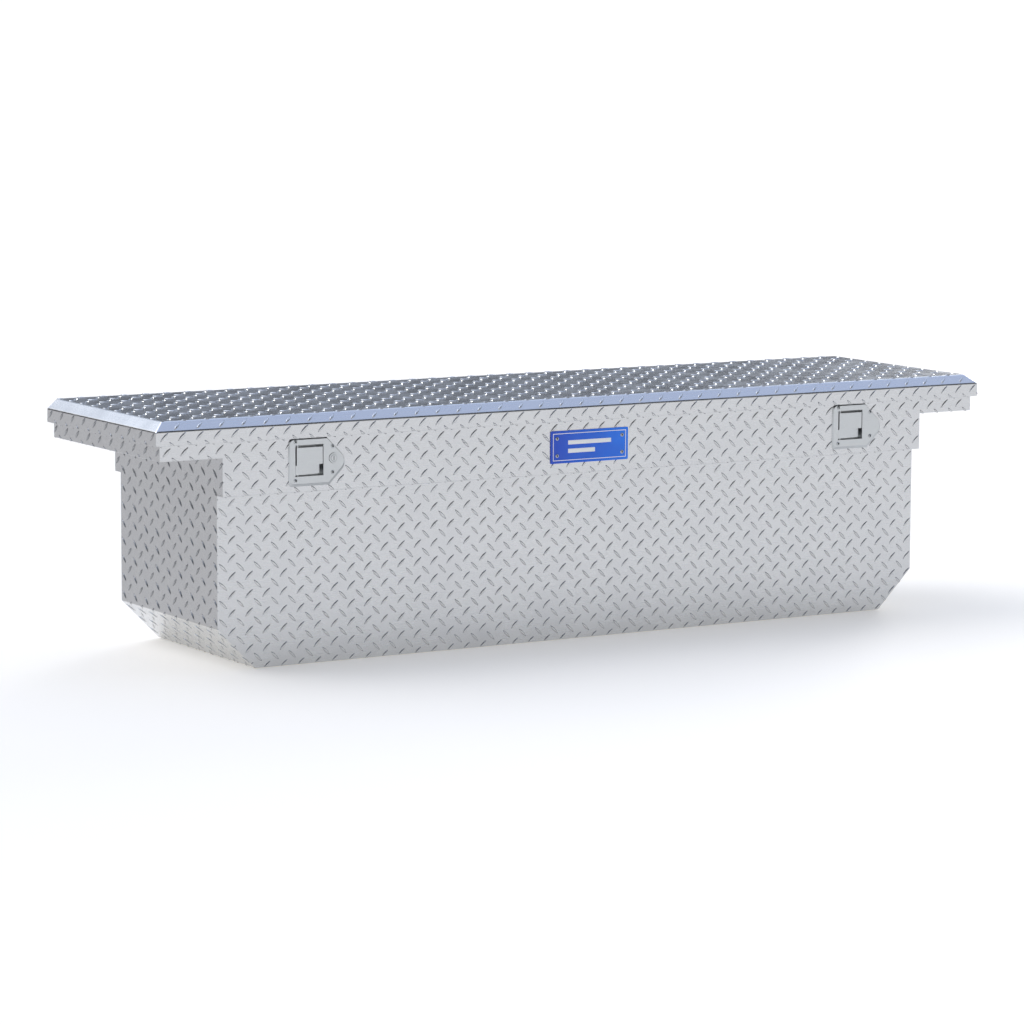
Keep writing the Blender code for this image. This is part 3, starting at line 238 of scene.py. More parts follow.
def lugAluminium(name, low, high):
    material, tree, shader, place = startMaterial(name, Metallic=1.0)
    wear = addNode(tree, "ShaderNodeTexNoise", None, {
        "Scale": 1 / burnished["wear"], "Detail": 2.0, "Vector": place}).outputs["Fac"]
    tint = addNode(tree, "ShaderNodeMix", {"data_type": "RGBA"}, {
        6: hexColour(low), 7: hexColour(high), 0: wear})
    tree.links.new(tint.outputs[2], shader.inputs["Base Color"])
    smooth, rough = burnished["roughness"]
    dull = addNode(tree, "ShaderNodeMapRange", None, {"Value": wear, "To Min": smooth, "To Max": rough})
    tree.links.new(dull.outputs[0], shader.inputs["Roughness"])
    return material


# Plain mill-finish sheet of pan and hinge: greyer than the tread plate, with long soft rolling lines.
# Belt-brushed stainless: grey, silky, with fine lines across (0.3 mm, drawn coarse enough to show)
linedMetals = {
    "millFinishAluminium": {
        "line": 0.0012, "stretch": 0.03, "detail": 4.0, "colours": ("#C7CACC", "#DFE1E2"),
        "roughness": (0.34, 0.5), "flat": 0.42, "bump": 0.15, "depth": 0.0001,
    },
    "brushedStainlessSteel": {
        "line": 0.0003, "stretch": 0.02, "detail": 2.0, "colours": ("#BCBFC1", "#CDD0D1"),
        "roughness": (0.24, 0.36), "flat": 0.3, "bump": 0.2, "depth": 0.00005,
    },
}


def linedMetal(name):
    finish = linedMetals[name]
    material, tree, shader, place = startMaterial(name, Metallic=1.0, Roughness=finish["flat"])
    stretched = addNode(tree, "ShaderNodeMapping", None, {
        "Scale": (finish["stretch"], 1.0, 1.0), "Vector": place})
    lines = addNode(tree, "ShaderNodeTexNoise", None, {
        "Scale": 1 / finish["line"], "Detail": finish["detail"],
        "Vector": stretched.outputs[0]}).outputs["Fac"]
    low, high = finish["colours"]
    tint = addNode(tree, "ShaderNodeMix", {"data_type": "RGBA"}, {
        6: hexColour(low), 7: hexColour(high), 0: lines})
    tree.links.new(tint.outputs[2], shader.inputs["Base Color"])
    smooth, rough = finish["roughness"]
    dull = addNode(tree, "ShaderNodeMapRange", None, {"Value": lines, "To Min": smooth, "To Max": rough})
    tree.links.new(dull.outputs[0], shader.inputs["Roughness"])
    bump = addNode(tree, "ShaderNodeBump", None, {
        "Strength": finish["bump"], "Distance": finish["depth"], "Height": lines})
    tree.links.new(bump.outputs[0], shader.inputs["Normal"])
    return material


# Zinc-plated pressed steel: bluish grey, with a faint crystalline spangle
zincPlate = {"spangle": 0.004, "colours": ("#A9AEB2", "#C3C8CA"), "roughness": (0.32, 0.46), "flat": 0.38}


def zincSteel():
    material, tree, shader, place = startMaterial(
        "zincPlatedSteel", Metallic=1.0, Roughness=zincPlate["flat"])
    spangle = addNode(tree, "ShaderNodeTexVoronoi", None, {
        "Scale": 1 / zincPlate["spangle"], "Vector": place}).outputs["Color"]
    low, high = zincPlate["colours"]
    tint = addNode(tree, "ShaderNodeMix", {"data_type": "RGBA"}, {
        6: hexColour(low), 7: hexColour(high), 0: spangle})
    tree.links.new(tint.outputs[2], shader.inputs["Base Color"])
    smooth, rough = zincPlate["roughness"]
    dull = addNode(tree, "ShaderNodeMapRange", None, {"Value": spangle, "To Min": smooth, "To Max": rough})
    tree.links.new(dull.outputs[0], shader.inputs["Roughness"])
    return material


# Extruded EPDM rubber: near black, dull, with a dusty bloom.
# Satin black stoved paint: a slight orange peel.
# Screen-printed white ink: flat, slightly uneven
mottled = {
    "extrudedEpdmRubber": {
        "grain": 0.012, "detail": 5.0, "colours": ("#151516", "#262627"), "roughness": 0.75,
        "bump": 0.3, "depth": 0.0002,
    },
    "satinBlackPaint": {
        "grain": 0.0014, "detail": 1.0, "colours": ("#0E0F10", "#17181A"), "roughness": 0.35,
        "bump": 0.15, "depth": 0.0001,
    },
    "screenPrintedWhite": {
        "grain": 0.002, "detail": 2.0, "colours": ("#EDF1F6", "#FFFFFF"), "roughness": 0.45,
    },
}


def mottledCoat(name):
    finish = mottled[name]
    material, tree, shader, place = startMaterial(name, Roughness=finish["roughness"], IOR=1.5)
    grain = addNode(tree, "ShaderNodeTexNoise", None, {
        "Scale": 1 / finish["grain"], "Detail": finish["detail"], "Vector": place}).outputs["Fac"]
    low, high = finish["colours"]
    tint = addNode(tree, "ShaderNodeMix", {"data_type": "RGBA"}, {
        6: hexColour(low), 7: hexColour(high), 0: grain})
    tree.links.new(tint.outputs[2], shader.inputs["Base Color"])
    if "bump" in finish:
        bump = addNode(tree, "ShaderNodeBump", None, {
            "Strength": finish["bump"], "Distance": finish["depth"], "Height": grain})
        tree.links.new(bump.outputs[0], shader.inputs["Normal"])
    return material


# Half-gloss blue enamel on aluminium, deeper at the left and clearer at the right
badgeEnamel = {
    "colours": ("#0046CC", "#0080FF"),
    "reach": 0.09,               # the change runs from this far left of the middle to this far right
    "mottle": 0.05,
    "mottleRange": (0.5, 1.4),
    "gloss": {"Roughness": 0.3, "IOR": 1.5, "Coat Weight": 0.15, "Coat Roughness": 0.08},
}


def blueEnamel():
    material, tree, shader, place = startMaterial("blueEnamel", **badgeEnamel["gloss"])
    apart = addNode(tree, "ShaderNodeSeparateXYZ", None, {"Vector": place}).outputs["X"]
    mottle = addNode(tree, "ShaderNodeTexNoise", None, {
        "Scale": 1 / badgeEnamel["mottle"], "Detail": 2.0, "Vector": place}).outputs["Fac"]
    across = addNode(tree, "ShaderNodeMapRange", None, {
        "From Min": -badgeEnamel["reach"], "From Max": badgeEnamel["reach"], "Value": apart})
    least, most = badgeEnamel["mottleRange"]
    uneven = addNode(tree, "ShaderNodeMapRange", None, {"Value": mottle, "To Min": least, "To Max": most})
    mixed = addNode(tree, "ShaderNodeMath", {"operation": "MULTIPLY"}, {
        0: across.outputs[0], 1: uneven.outputs[0]}).outputs[0]
    low, high = badgeEnamel["colours"]
    tint = addNode(tree, "ShaderNodeMix", {"data_type": "RGBA"}, {
        6: hexColour(low), 7: hexColour(high), 0: mixed})
    tree.links.new(tint.outputs[2], shader.inputs["Base Color"])
    return material


# Closed-cell polyurethane core: cream, matt
foamCore = {"cell": 0.0015, "colours": ("#CDBF97", "#E9E0C4"), "roughness": 0.9, "ior": 1.45}


def closedFoam():
    material, tree, shader, place = startMaterial(
        "polyurethaneFoam", Roughness=foamCore["roughness"], IOR=foamCore["ior"])
    cells = addNode(tree, "ShaderNodeTexVoronoi", None, {
        "Scale": 1 / foamCore["cell"], "Vector": place}).outputs["Distance"]
    low, high = foamCore["colours"]
    tint = addNode(tree, "ShaderNodeMix", {"data_type": "RGBA"}, {
        6: hexColour(low), 7: hexColour(high), 0: cells})
    tree.links.new(tint.outputs[2], shader.inputs["Base Color"])
    return material


sheetMetal = treadAluminium("rolledTreadAluminium", "#C8C9CB", "#D6D7D8", 0.20, 0.34)
# the end walls are the same sheet, toned greyer as painted shade of the ends: a real one would have a single
# finish
paintedShadeEndMetal = treadAluminium("paintedShadeEndTreadAluminium", "#9E9E9F", "#ADACAC", 0.20, 0.34)
# the side without lugs, set lighter and duller so that the tub's inside shows: the lighter tone is painted
# light in the inside's shade
paintedLightInsideMetal = treadAluminium("paintedLightInsideTreadAluminium", "#E2E3E4", "#EFF0F1", 0.50, 0.66)
lugMetal = lugAluminium("burnishedLugAluminium", "#C0C2C4", "#DADBDC")
# the end walls' lugs, greyed the same way as painted shade
paintedShadeEndLugMetal = lugAluminium("paintedShadeEndLugAluminium", "#85878A", "#A2A4A6")      # toned with the end walls
stainless, rubber = linedMetal("brushedStainlessSteel"), mottledCoat("extrudedEpdmRubber")
ink = mottledCoat("screenPrintedWhite")
finishOfSlot = {
    "tread_plate": sheetMetal,
    "mill_aluminium": linedMetal("millFinishAluminium"),
    "stainless": stainless,
    "zinc_steel": zincSteel(),
    "rubber": rubber,
    "black_paint": mottledCoat("satinBlackPaint"),
    "blue_enamel": blueEnamel(),
    "foam": closedFoam(),
}
print("materials ready")


# rounding over the frame's own shapes

slotOf = {part["node"]: part["material_slot"] for part in frame["record"]["subparts"]}
bodyOf = {node: body for body, members in frame["record"]["behaviour"]["bodies"].items() for node in members}
for name, node in nodes.items():
    node.data.materials.clear()
    node.data.materials.append(finishOfSlot[slotOf[name]])


# rides where its first node rides, and stands for all of them
def ranOver(obj, *names):
    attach(obj, bodyOf[names[0]])
    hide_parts(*names)
    return obj


rounding = {
    "merge": 0.00001,
    "flat": 0.5,         # degrees: faces nearer to one plane than this are joined
    "crease": 24,        # degrees: only sharper edges are rounded
    "sheet": 0.002,      # the inside of a fold is tighter than the outside by this
    "room": 2.2,         # an edge shorter than this many radii stays sharp
}


# a merged copy whose folds get radius fold and whose cut edges get radius edge
def rounded(name, node, fold, edge, segments=3, narrow=0.004):
    bm = bmesh.new()
    bm.from_mesh(nodes[node].data)
    bmesh.ops.remove_doubles(bm, verts=bm.verts, dist=rounding["merge"])
    bmesh.ops.dissolve_limit(bm, angle_limit=math.radians(rounding["flat"]), verts=bm.verts, edges=bm.edges)
    weights = bm.edges.layers.float.new("bevel_weight_edge")
    largest = max(fold, edge)
    for e in bm.edges:
        if len(e.link_faces) != 2 or e.calc_face_angle(0) < math.radians(rounding["crease"]):
            e.smooth = True
            continue
        e.smooth = False
        spans = [f.calc_area() / max(side.calc_length() for side in f.edges) for f in e.link_faces]
        radius = fold if min(spans) > narrow else edge
        if min(spans) > narrow and not e.is_convex:
            radius = max(fold - rounding["sheet"], edge)
        if e.calc_length() > rounding["room"] * radius:
            e[weights] = radius / largest
    for f in bm.faces:
        f.smooth = True
    obj = toObject(name, bm, finishOfSlot[slotOf[node]])
    bevel = obj.modifiers.new("rounding", "BEVEL")
    bevel.limit_method = "WEIGHT"
    bevel.width = largest
    bevel.segments = segments
    bevel.use_clamp_overlap = True
    bevel.harden_normals = True
    return ranOver(flatten(obj), node)


sheets = {
    "fold": 0.0026,      # outside radius of a bend
    "edge": 0.00035,     # broken edge of sheared sheet
    "thin": 0.0002,      # both, on the lid pan and the hinge leaves
    "nodes": ("tub_wrap", "front_panel", "rear_panel", "left_wing", "right_wing", "lid_skin"),
    # end walls found by this get the painted shade; inside faces found by the point below get the painted
    # light
    "upright": 0.9,      # a face whose normal is this near to X is an end wall
    "eye": (0, 0, 0.6),  # faces turned to this point, over the tub's mouth, are the sheet's inside
}
for node in sheets["nodes"]:
    sheet = rounded(node.title().replace("_", "") + "Sheet", node, sheets["fold"], sheets["edge"])
    sheet.data.materials.append(paintedShadeEndMetal)
    sheet.data.materials.append(paintedLightInsideMetal)
    # slot 1 is the painted shade of the end walls, slot 2 the painted light of the tub's inside
    for f in sheet.data.polygons:
        inside = node != "lid_skin" and f.normal.dot(Vector(sheets["eye"]) - f.center) > 0
        f.material_index = 2 if inside else int(abs(f.normal.x) > sheets["upright"])
for node in ("lid_pan", "hinge_leaf_tub", "hinge_leaf_lid"):
    rounded(node.title().replace("_", ""), node, sheets["thin"], sheets["thin"], 2)
print("sheet metal done")

# latches and fittings: pressed, turned and plated parts

fittings = {
    "pressing": 0.0009,      # radius on the stainless pressings
    "plate": 0.0004,
    "turned": 0.0003,
    "narrow": 0.0025,        # faces of the latch plate no wider than this count as cut edges
}
for side in ("left", "right"):
    pressing, plate, turned = fittings["pressing"], fittings["plate"], fittings["turned"]
    rounded(f"{side}LatchPlate", f"{side}_latch_plate", pressing, plate, 3, fittings["narrow"])
    rounded(f"{side}Paddle", f"{side}_paddle", plate, plate, 2)
    for part in ("latch_case", "hook", "pawl", "striker",
                 "strut_tub_bracket", "strut_lid_bracket", "rod_guide"):
        rounded(side + part.title().replace("_", ""), f"{side}_{part}", plate, plate, 2)
    for part in ("strut_cylinder", "strut_rod"):
        rounded(side + part.title().replace("_", ""), f"{side}_{part}", turned, turned, 2)
for node in ("lock_barrel", "lock_plug", "lock_cam", "lock_rod", "badge_plate"):
    rounded(node.title().replace("_", ""), node, turned, turned, 2)
print("fittings done")

# tread: one node tree sets every lug on a grid, then each panel's lugs are cut to its outline

lug = {
    "length": 0.0225,
    "width": 0.0058,
    "height": 0.0014,
    "ends": 0.55,         # width near the ends, against the middle
    "sides": 10,
    "rings": 4,
    "sunk": 0.12,         # of its height, below the sheet's face
    "smallest": 0.94,     # the roll wears, so lugs differ a little
    "largest": 1.06,
    "seed": 11,
    "seeds": 97,          # panels draw from this many
}


def treadTree():
    tree = bpy.data.node_groups.new("treadLugGrid", "GeometryNodeTree")
    face = tree.interface
    face.new_socket("Geometry", in_out="INPUT", socket_type="NodeSocketGeometry")
    for title in ("Columns", "Rows", "Seed"):
        face.new_socket(title, in_out="INPUT", socket_type="NodeSocketInt")
    for title in ("Pitch Across", "Pitch Up", "Length", "Width", "Height", "Ends", "Smallest", "Largest"):
        face.new_socket(title, in_out="INPUT", socket_type="NodeSocketFloat")
    face.new_socket("Finish", in_out="INPUT", socket_type="NodeSocketMaterial")
    face.new_socket("Geometry", in_out="OUTPUT", socket_type="NodeSocketGeometry")
    given = addNode(tree, "NodeGroupInput").outputs

    # one lug: a ball pulled long, narrowed to its ends and flat underneath
    ball = addNode(tree, "GeometryNodeMeshUVSphere", None, {
        "Segments": lug["sides"], "Rings": lug["rings"], "Radius": 1.0})
    spot = addNode(tree, "GeometryNodeInputPosition").outputs[0]
    x, y, z = addNode(tree, "ShaderNodeSeparateXYZ", None, {0: spot}).outputs
    along = addNode(tree, "ShaderNodeMath", {"operation": "ABSOLUTE"}, {0: x}).outputs[0]
    narrow = addNode(tree, "ShaderNodeMapRange", None, {
        "Value": along, "To Min": 1.0, "To Max": given["Ends"]})
    across = addNode(tree, "ShaderNodeMath", {"operation": "MULTIPLY"}, {
        0: y, 1: narrow.outputs[0]}).outputs[0]
    above = addNode(tree, "ShaderNodeMath", {"operation": "MAXIMUM"}, {0: z, 1: -lug["sunk"]}).outputs[0]
    unit = addNode(tree, "ShaderNodeCombineXYZ", None, {0: x, 1: across, 2: above}).outputs[0]
    full = addNode(tree, "ShaderNodeCombineXYZ", None, {
        0: given["Length"], 1: given["Width"], 2: given["Height"]})
    half = addNode(tree, "ShaderNodeVectorMath", {"operation": "MULTIPLY"}, {
        0: full.outputs[0], 1: (0.5, 0.5, 1.0)})
    sized = addNode(tree, "ShaderNodeVectorMath", {"operation": "MULTIPLY"}, {0: unit, 1: half.outputs[0]})
    shaped = addNode(tree, "GeometryNodeSetPosition", None, {
        "Geometry": ball.outputs["Mesh"], "Position": sized.outputs[0]})
    smooth = addNode(tree, "GeometryNodeSetShadeSmooth", None, {"Geometry": shaped.outputs[0]})

    # the grid, with one lug on each point and a crossing one half a pitch on
    spans = []
    for count, pitch in (("Columns", "Pitch Across"), ("Rows", "Pitch Up")):
        gaps = addNode(tree, "ShaderNodeMath", {"operation": "SUBTRACT"}, {
            0: given[count], 1: 1.0}).outputs[0]
        spans.append(addNode(tree, "ShaderNodeMath", {"operation": "MULTIPLY"}, {0: gaps, 1: given[pitch]}))
    grid = addNode(tree, "GeometryNodeMeshGrid", None, {
        "Size X": spans[0].outputs[0], "Size Y": spans[1].outputs[0],
        "Vertices X": given["Columns"], "Vertices Y": given["Rows"]})
    size = addNode(tree, "FunctionNodeRandomValue", {"data_type": "FLOAT"}, {
        2: given["Smallest"], 3: given["Largest"], "Seed": given["Seed"]})
    cell = addNode(tree, "ShaderNodeCombineXYZ", None, {
        0: given["Pitch Across"], 1: given["Pitch Up"]}).outputs[0]
    joined = addNode(tree, "GeometryNodeJoinGeometry")
    for turn, shift in ((-45, 0.5), (45, 0.0)):
        moved = addNode(tree, "ShaderNodeVectorMath", {"operation": "SCALE"}, {
            0: cell, "Scale": shift}).outputs[0]
        points = addNode(tree, "GeometryNodeTransform", None, {
            "Geometry": grid.outputs["Mesh"], "Translation": moved})
        placed = addNode(tree, "GeometryNodeInstanceOnPoints", None, {
            "Points": points.outputs[0], "Instance": smooth.outputs[0],
            "Rotation": (0, 0, math.radians(turn)), "Scale": size.outputs[1]})
        tree.links.new(placed.outputs[0], joined.inputs[0])
    plain = addNode(tree, "GeometryNodeRealizeInstances", None, {"Geometry": joined.outputs[0]})
    finished = addNode(tree, "GeometryNodeSetMaterial", None, {
        "Geometry": plain.outputs[0], "Material": given["Finish"]})
    addNode(tree, "NodeGroupOutput", None, {0: finished.outputs[0]})
    return tree


# puts the tree on an object, gives it its inputs and returns the plain mesh it makes
def runTree(name, tree, mesh, values):
    obj = bpy.data.objects.new(name, mesh)
    scene.collection.objects.link(obj)
    modifier = obj.modifiers.new(name, "NODES")
    modifier.node_group = tree
    for socket in tree.interface.items_tree:
        if socket.in_out == "INPUT" and socket.name in values:
            modifier[socket.identifier] = values[socket.name]
    bpy.context.view_layer.update()
    made = bpy.data.meshes.new_from_object(obj.evaluated_get(bpy.context.evaluated_depsgraph_get()))
    bpy.data.objects.remove(obj)
    return made


lugGrid = treadTree()


# lugs for one flat panel, added to target; outlines are convex, in the panel's own two directions
def treadPatch(target, across, up, origin, pitch, start, outlines, keepOut=(), under=(), finish=0):
    lows = [min(p[i] for o in outlines for p in o) for i in (0, 1)]
    highs = [max(p[i] for o in outlines for p in o) for i in (0, 1)]
    first = [start[i] + (math.floor((lows[i] - start[i]) / pitch[i]) - 1) * pitch[i] for i in (0, 1)]
    counts = [int((highs[i] - first[i]) / pitch[i]) + 2 for i in (0, 1)]
    mesh = runTree("treadPatch", lugGrid, bpy.data.meshes.new("treadStart"), {
        "Columns": counts[0], "Rows": counts[1], "Seed": lug["seed"] + len(target.verts) % lug["seeds"],
        "Pitch Across": pitch[0], "Pitch Up": pitch[1], "Length": lug["length"], "Width": lug["width"],
        "Height": lug["height"], "Ends": lug["ends"], "Smallest": lug["smallest"], "Largest": lug["largest"],
        "Finish": lugMetal})
    centre = Vector((first[0] + (counts[0] - 1) * pitch[0] / 2, first[1] + (counts[1] - 1) * pitch[1] / 2, 0))
    mesh.transform(Matrix.Translation(centre))
    each = len(mesh.vertices) // (2 * counts[0] * counts[1])
    points = [v.co.copy() for v in mesh.vertices]
    groups = [points[i:i + each] for i in range(0, len(points), each)]

    def dropped(group):
        middle = sum(group, Vector()) / each
        for x0, y0, x1, y1 in under:
            if x0 < middle.x < x1 and y0 < middle.y < y1:
                return True
        return any(x0 < p.x < x1 and y0 < p.y < y1 for x0, y0, x1, y1 in keepOut for p in group)

    faces = [tuple(f.vertices) for f in mesh.polygons]
    facesEach = len(faces) // len(groups)
    out = [dropped(group) for group in groups]
    place = Matrix((across, up, Vector(across).cross(Vector(up)))).transposed().to_4x4()
    place.translation = origin
    for outline in outlines:
        lines = []
        for a, b in zip(outline, outline[1:] + outline[:1]):
            a, b = Vector((*a, 0)), Vector((*b, 0))
            run = b - a
            lines.append((a, Vector((run.y, -run.x, 0)).normalized()))
        whole, cut = [], []
        for number, group in enumerate(groups):
            if out[number]:
                continue
            sides = [[(p - a).dot(n) for p in group] for a, n in lines]
            if any(min(s) >= 0 for s in sides):
                continue
            (cut if any(max(s) > 0 for s in sides) else whole).append(number)
        for chosen, isCut in ((whole, False), (cut, True)):
            part = bmesh.new()
            for number in chosen:
                made = [part.verts.new(p) for p in groups[number]]
                for f in faces[number * facesEach:(number + 1) * facesEach]:
                    face = part.faces.new([made[i - number * each] for i in f])
                    face.smooth, face.material_index = True, finish
            if isCut:
                for a, n in lines:
                    everything = list(part.verts) + list(part.edges) + list(part.faces)
                    bmesh.ops.bisect_plane(part, geom=everything, plane_co=a, plane_no=n, clear_outer=True)
                    bmesh.ops.holes_fill(part, edges=[e for e in part.edges if e.is_boundary], sides=0)
            bmesh.ops.transform(part, matrix=place, verts=part.verts)
            joined = bpy.data.meshes.new("treadPart")
            part.to_mesh(joined)
            part.free()
            target.from_mesh(joined)
            bpy.data.meshes.remove(joined)
    bpy.data.meshes.remove(mesh)


def rectangle(x0, y0, x1, y1):
    return [(x0, y0), (x1, y0), (x1, y1), (x0, y1)]


# the panels' edges, read off the frame
wrapHigh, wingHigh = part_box("tub_wrap")[1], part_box("right_wing")[1]
frontLow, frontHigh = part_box("front_panel")
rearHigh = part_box("rear_panel")[1]
lidLow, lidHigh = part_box("lid_skin")
leafLow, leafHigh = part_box("hinge_leaf_tub")
badgeLow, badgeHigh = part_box("badge_plate")
latchBoxes = [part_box(f"{side}_latch_plate") for side in ("left", "right")]
paddleBoxes = [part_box(f"{side}_paddle") for side in ("left", "right")]
tubX, wingX, lidX = wrapHigh.x, wingHigh.x, lidHigh.x
railZ, lipZ = wrapHigh.z, frontHigh.z

shape = {
    "stepZ": 0.3217,       # where the lower panels stand back
    "stepBack": 0.024,
    "cornerCut": 0.077,    # 45 degree cut of the tub's ends
    "rimZ": 0.4475,        # top of the lid's upright rim
    "bevelEnd": 0.0204,
    "bevelFront": 0.0178,
    "edge": 0.0009,        # lugs stop this far short of a bend
    "seam": 0.0003,        # the upper panel's two parts meet this far above the rails
    "stepGap": 0.0006,
    "gap": 0.0005,         # and this far short of an edge where nothing is bent
    "leafGap": 0.001,
    "wrapInset": 0.0023,   # the end walls lie this far inside the front and rear panels
    "wallStep": 0.0025,    # the end walls' step is this far above the panels' step
    "bevelEnds": 0.003,
    "bevelSlant": 0.001,
}
edge, stepZ, cut, back = shape["edge"], shape["stepZ"], shape["cornerCut"], shape["stepBack"]

# where no lug goes, as distances in from the plate's sides: left, bottom, right, top
latchRoom = {
    "plate": (0.003, 0.003, 0.022, 0.003),
    "nose": (0.024, 0.022, 0.006, 0.020),       # its left is measured from the plate's right side
    "pocket": (0.004, 0.005, 0.003, 0.008),     # outwards, from the paddle
}
left, bottom, right, top = latchRoom["plate"]
under = [(a.x + left, a.z + bottom, b.x - right, b.z - top) for a, b in latchBoxes]
left, bottom, right, top = latchRoom["nose"]
under += [(b.x - left, a.z + bottom, b.x - right, b.z - top) for a, b in latchBoxes]
under.append((badgeLow.x, badgeLow.z, badgeHigh.x, badgeHigh.z))
left, bottom, right, top = latchRoom["pocket"]
keepOut = [(a.x - left, a.z - bottom, b.x + right, b.z + top) for a, b in paddleBoxes]

# each face's pitch, and the place of one of its lugs
grids = {
    "front": ((0.03526, 0.0338), (-0.4662, 0.3414)),
    "end": ((0.0477, 0.0339), (-0.1656, 0.2085)),
    "skirt": ((0.0480, 0.0339), (-0.2192, 0.4083)),
    "frontRim": ((0.03528, 0.0338), (-0.8272, 0.4380)),
    "endRim": ((0.0480, 0.0338), (-0.2150, 0.4380)),
    "top": ((0.0448, 0.0491), (0.0725, -0.1904)),
    "bevel": ((0.0448, 0.0491), (0.0725, 0.0123)),
}
xAxis, yAxis, zAxis = Vector((1, 0, 0)), Vector((0, 1, 0)), Vector((0, 0, 1))

# front and rear panels
seamZ = railZ + shape["seam"]
middle = rectangle(-tubX, stepZ + edge, tubX, seamZ)
lowerTop = stepZ - shape["stepGap"]
lower = [[
    (-tubX + cut, shape["gap"]), (tubX - cut, shape["gap"]), (tubX, cut),
    (tubX, lowerTop), (-tubX, lowerTop), (-tubX, cut),
]]
frontTread = bmesh.new()
upper = [rectangle(-wingX + edge, seamZ, wingX - edge, lipZ - edge), middle]
treadPatch(frontTread, xAxis, zAxis, (0, frontLow.y, 0), *grids["front"], upper, keepOut, under)
treadPatch(frontTread, xAxis, zAxis, (0, frontLow.y + back, 0), *grids["front"], lower)
ranOver(toObject("frontTread", frontTread, lugMetal), "front_panel")

rearTread = bmesh.new()
upper = [rectangle(-wingX + edge, seamZ, wingX - edge, leafLow.z - shape["leafGap"]), middle]
treadPatch(rearTread, -xAxis, zAxis, (0, rearHigh.y, 0), *grids["front"], upper)
treadPatch(rearTread, -xAxis, zAxis, (0, rearHigh.y - back, 0), *grids["front"], lower)
ranOver(toObject("rearTread", rearTread, lugMetal), "rear_panel")

# end walls, cut corners and floor
wrapTread = bmesh.new()
y0, y1 = frontLow.y + shape["wrapInset"], rearHigh.y - shape["wrapInset"]
wallZ = stepZ + shape["wallStep"]
slope = cut * math.sqrt(2)
for side in (-1, 1):
    across = side * yAxis
    low, high = sorted((side * y0, side * y1))
    lowStep, highStep = sorted((side * (y0 + back), side * (y1 - back)))
    walls = [rectangle(low, wallZ, high, railZ - edge), rectangle(lowStep, cut + edge, highStep, wallZ)]
    # finish 1 gives the end walls' lugs the painted shade
    treadPatch(wrapTread, across, zAxis, (side * tubX, 0, 0), *grids["end"], walls, finish=1)
    tilt = Vector((side, 0, 1)).normalized()
    corner = [rectangle(lowStep, edge, highStep, slope - edge)]
    treadPatch(wrapTread, across, tilt, (side * (tubX - cut), 0, 0), *grids["end"], corner)
belly = [rectangle(-tubX + cut + edge, -y1 + back, tubX - cut - edge, -y0 - back)]
treadPatch(wrapTread, xAxis, -yAxis, (0, 0, 0), *grids["front"], belly)
ranOver(toObject("wrapTread", wrapTread, lugMetal, paintedShadeEndLugMetal), "tub_wrap")

# wings: underside and skirt
for side, word in ((-1, "left"), (1, "right")):
    wingTread = bmesh.new()
    low, high = sorted((side * y0, side * y1))
    skirt = [rectangle(low, railZ + edge, high, lipZ - edge)]
    # the skirts' lugs get the same painted shade (finish 1)
    treadPatch(wingTread, side * yAxis, zAxis, (side * wingX, 0, 0), *grids["skirt"], skirt, finish=1)
    inner, outer = sorted((side * (tubX + shape["gap"]), side * (wingX - edge)))
    saddle = [rectangle(inner, -y1, outer, -y0)]
    treadPatch(wingTread, xAxis, -yAxis, (0, 0, railZ), *grids["front"], saddle)
    ranOver(toObject(f"{word}WingTread", wingTread, lugMetal, paintedShadeEndLugMetal), f"{word}_wing")

# lid: top, front bevel and the four rims
lidTread = bmesh.new()
topX, frontY, rearY, topZ = lidX - shape["bevelEnd"], lidLow.y + shape["bevelFront"], lidHigh.y, lidHigh.z
flatTop = [rectangle(-topX + edge, frontY + edge, topX - edge, rearY - edge)]
treadPatch(lidTread, xAxis, yAxis, (0, 0, topZ), *grids["top"], flatTop)
rise = Vector((0, shape["bevelFront"], topZ - shape["rimZ"]))
wide, slim, upTo = lidX - shape["bevelEnds"], topX - shape["bevelSlant"], rise.length - edge
bevel = [[(-wide, edge), (wide, edge), (slim, upTo), (-slim, upTo)]]
treadPatch(lidTread, xAxis, rise.normalized(), (0, lidLow.y, shape["rimZ"]), *grids["bevel"], bevel)
rimLow, rimHigh = lidLow.z + shape["gap"], shape["rimZ"] - edge
frontRim = [rectangle(-lidX + edge, rimLow, lidX - edge, rimHigh)]
treadPatch(lidTread, xAxis, zAxis, (0, lidLow.y, 0), *grids["frontRim"], frontRim)
rearRim = [rectangle(-lidX + edge, rimLow, lidX - edge, topZ - edge - shape["bevelFront"])]
treadPatch(lidTread, -xAxis, zAxis, (0, lidHigh.y, 0), *grids["frontRim"], rearRim)
for side in (-1, 1):
    low, high = sorted((side * (lidLow.y + edge), side * (lidHigh.y - edge)))
    endRim = [rectangle(low, rimLow, high, rimHigh)]
    # the end rims' lugs get the same painted shade (finish 1)
    treadPatch(lidTread, side * yAxis, zAxis, (side * lidX, 0, 0), *grids["endRim"], endRim, finish=1)
ranOver(toObject("lidTread", lidTread, lugMetal, paintedShadeEndLugMetal), "lid_skin")
print("tread done")

# rivets: one head, set by nodes on every place

rivetHead = {
    "radius": 0.0036,
    "height": 0.0013,
    "bore": 0.0017,       # where the mandrel snapped off
    "sunk": 0.0009,
    "steps": 20,
    "stubSteps": 12,
    "seat": 0.0012,       # from the rivet's front to the plate it sits on
    # share of the radius, share of the height
    "curve": ((1, 0), (0.97, 0.35), (0.86, 0.68), (0.66, 0.92)),
}


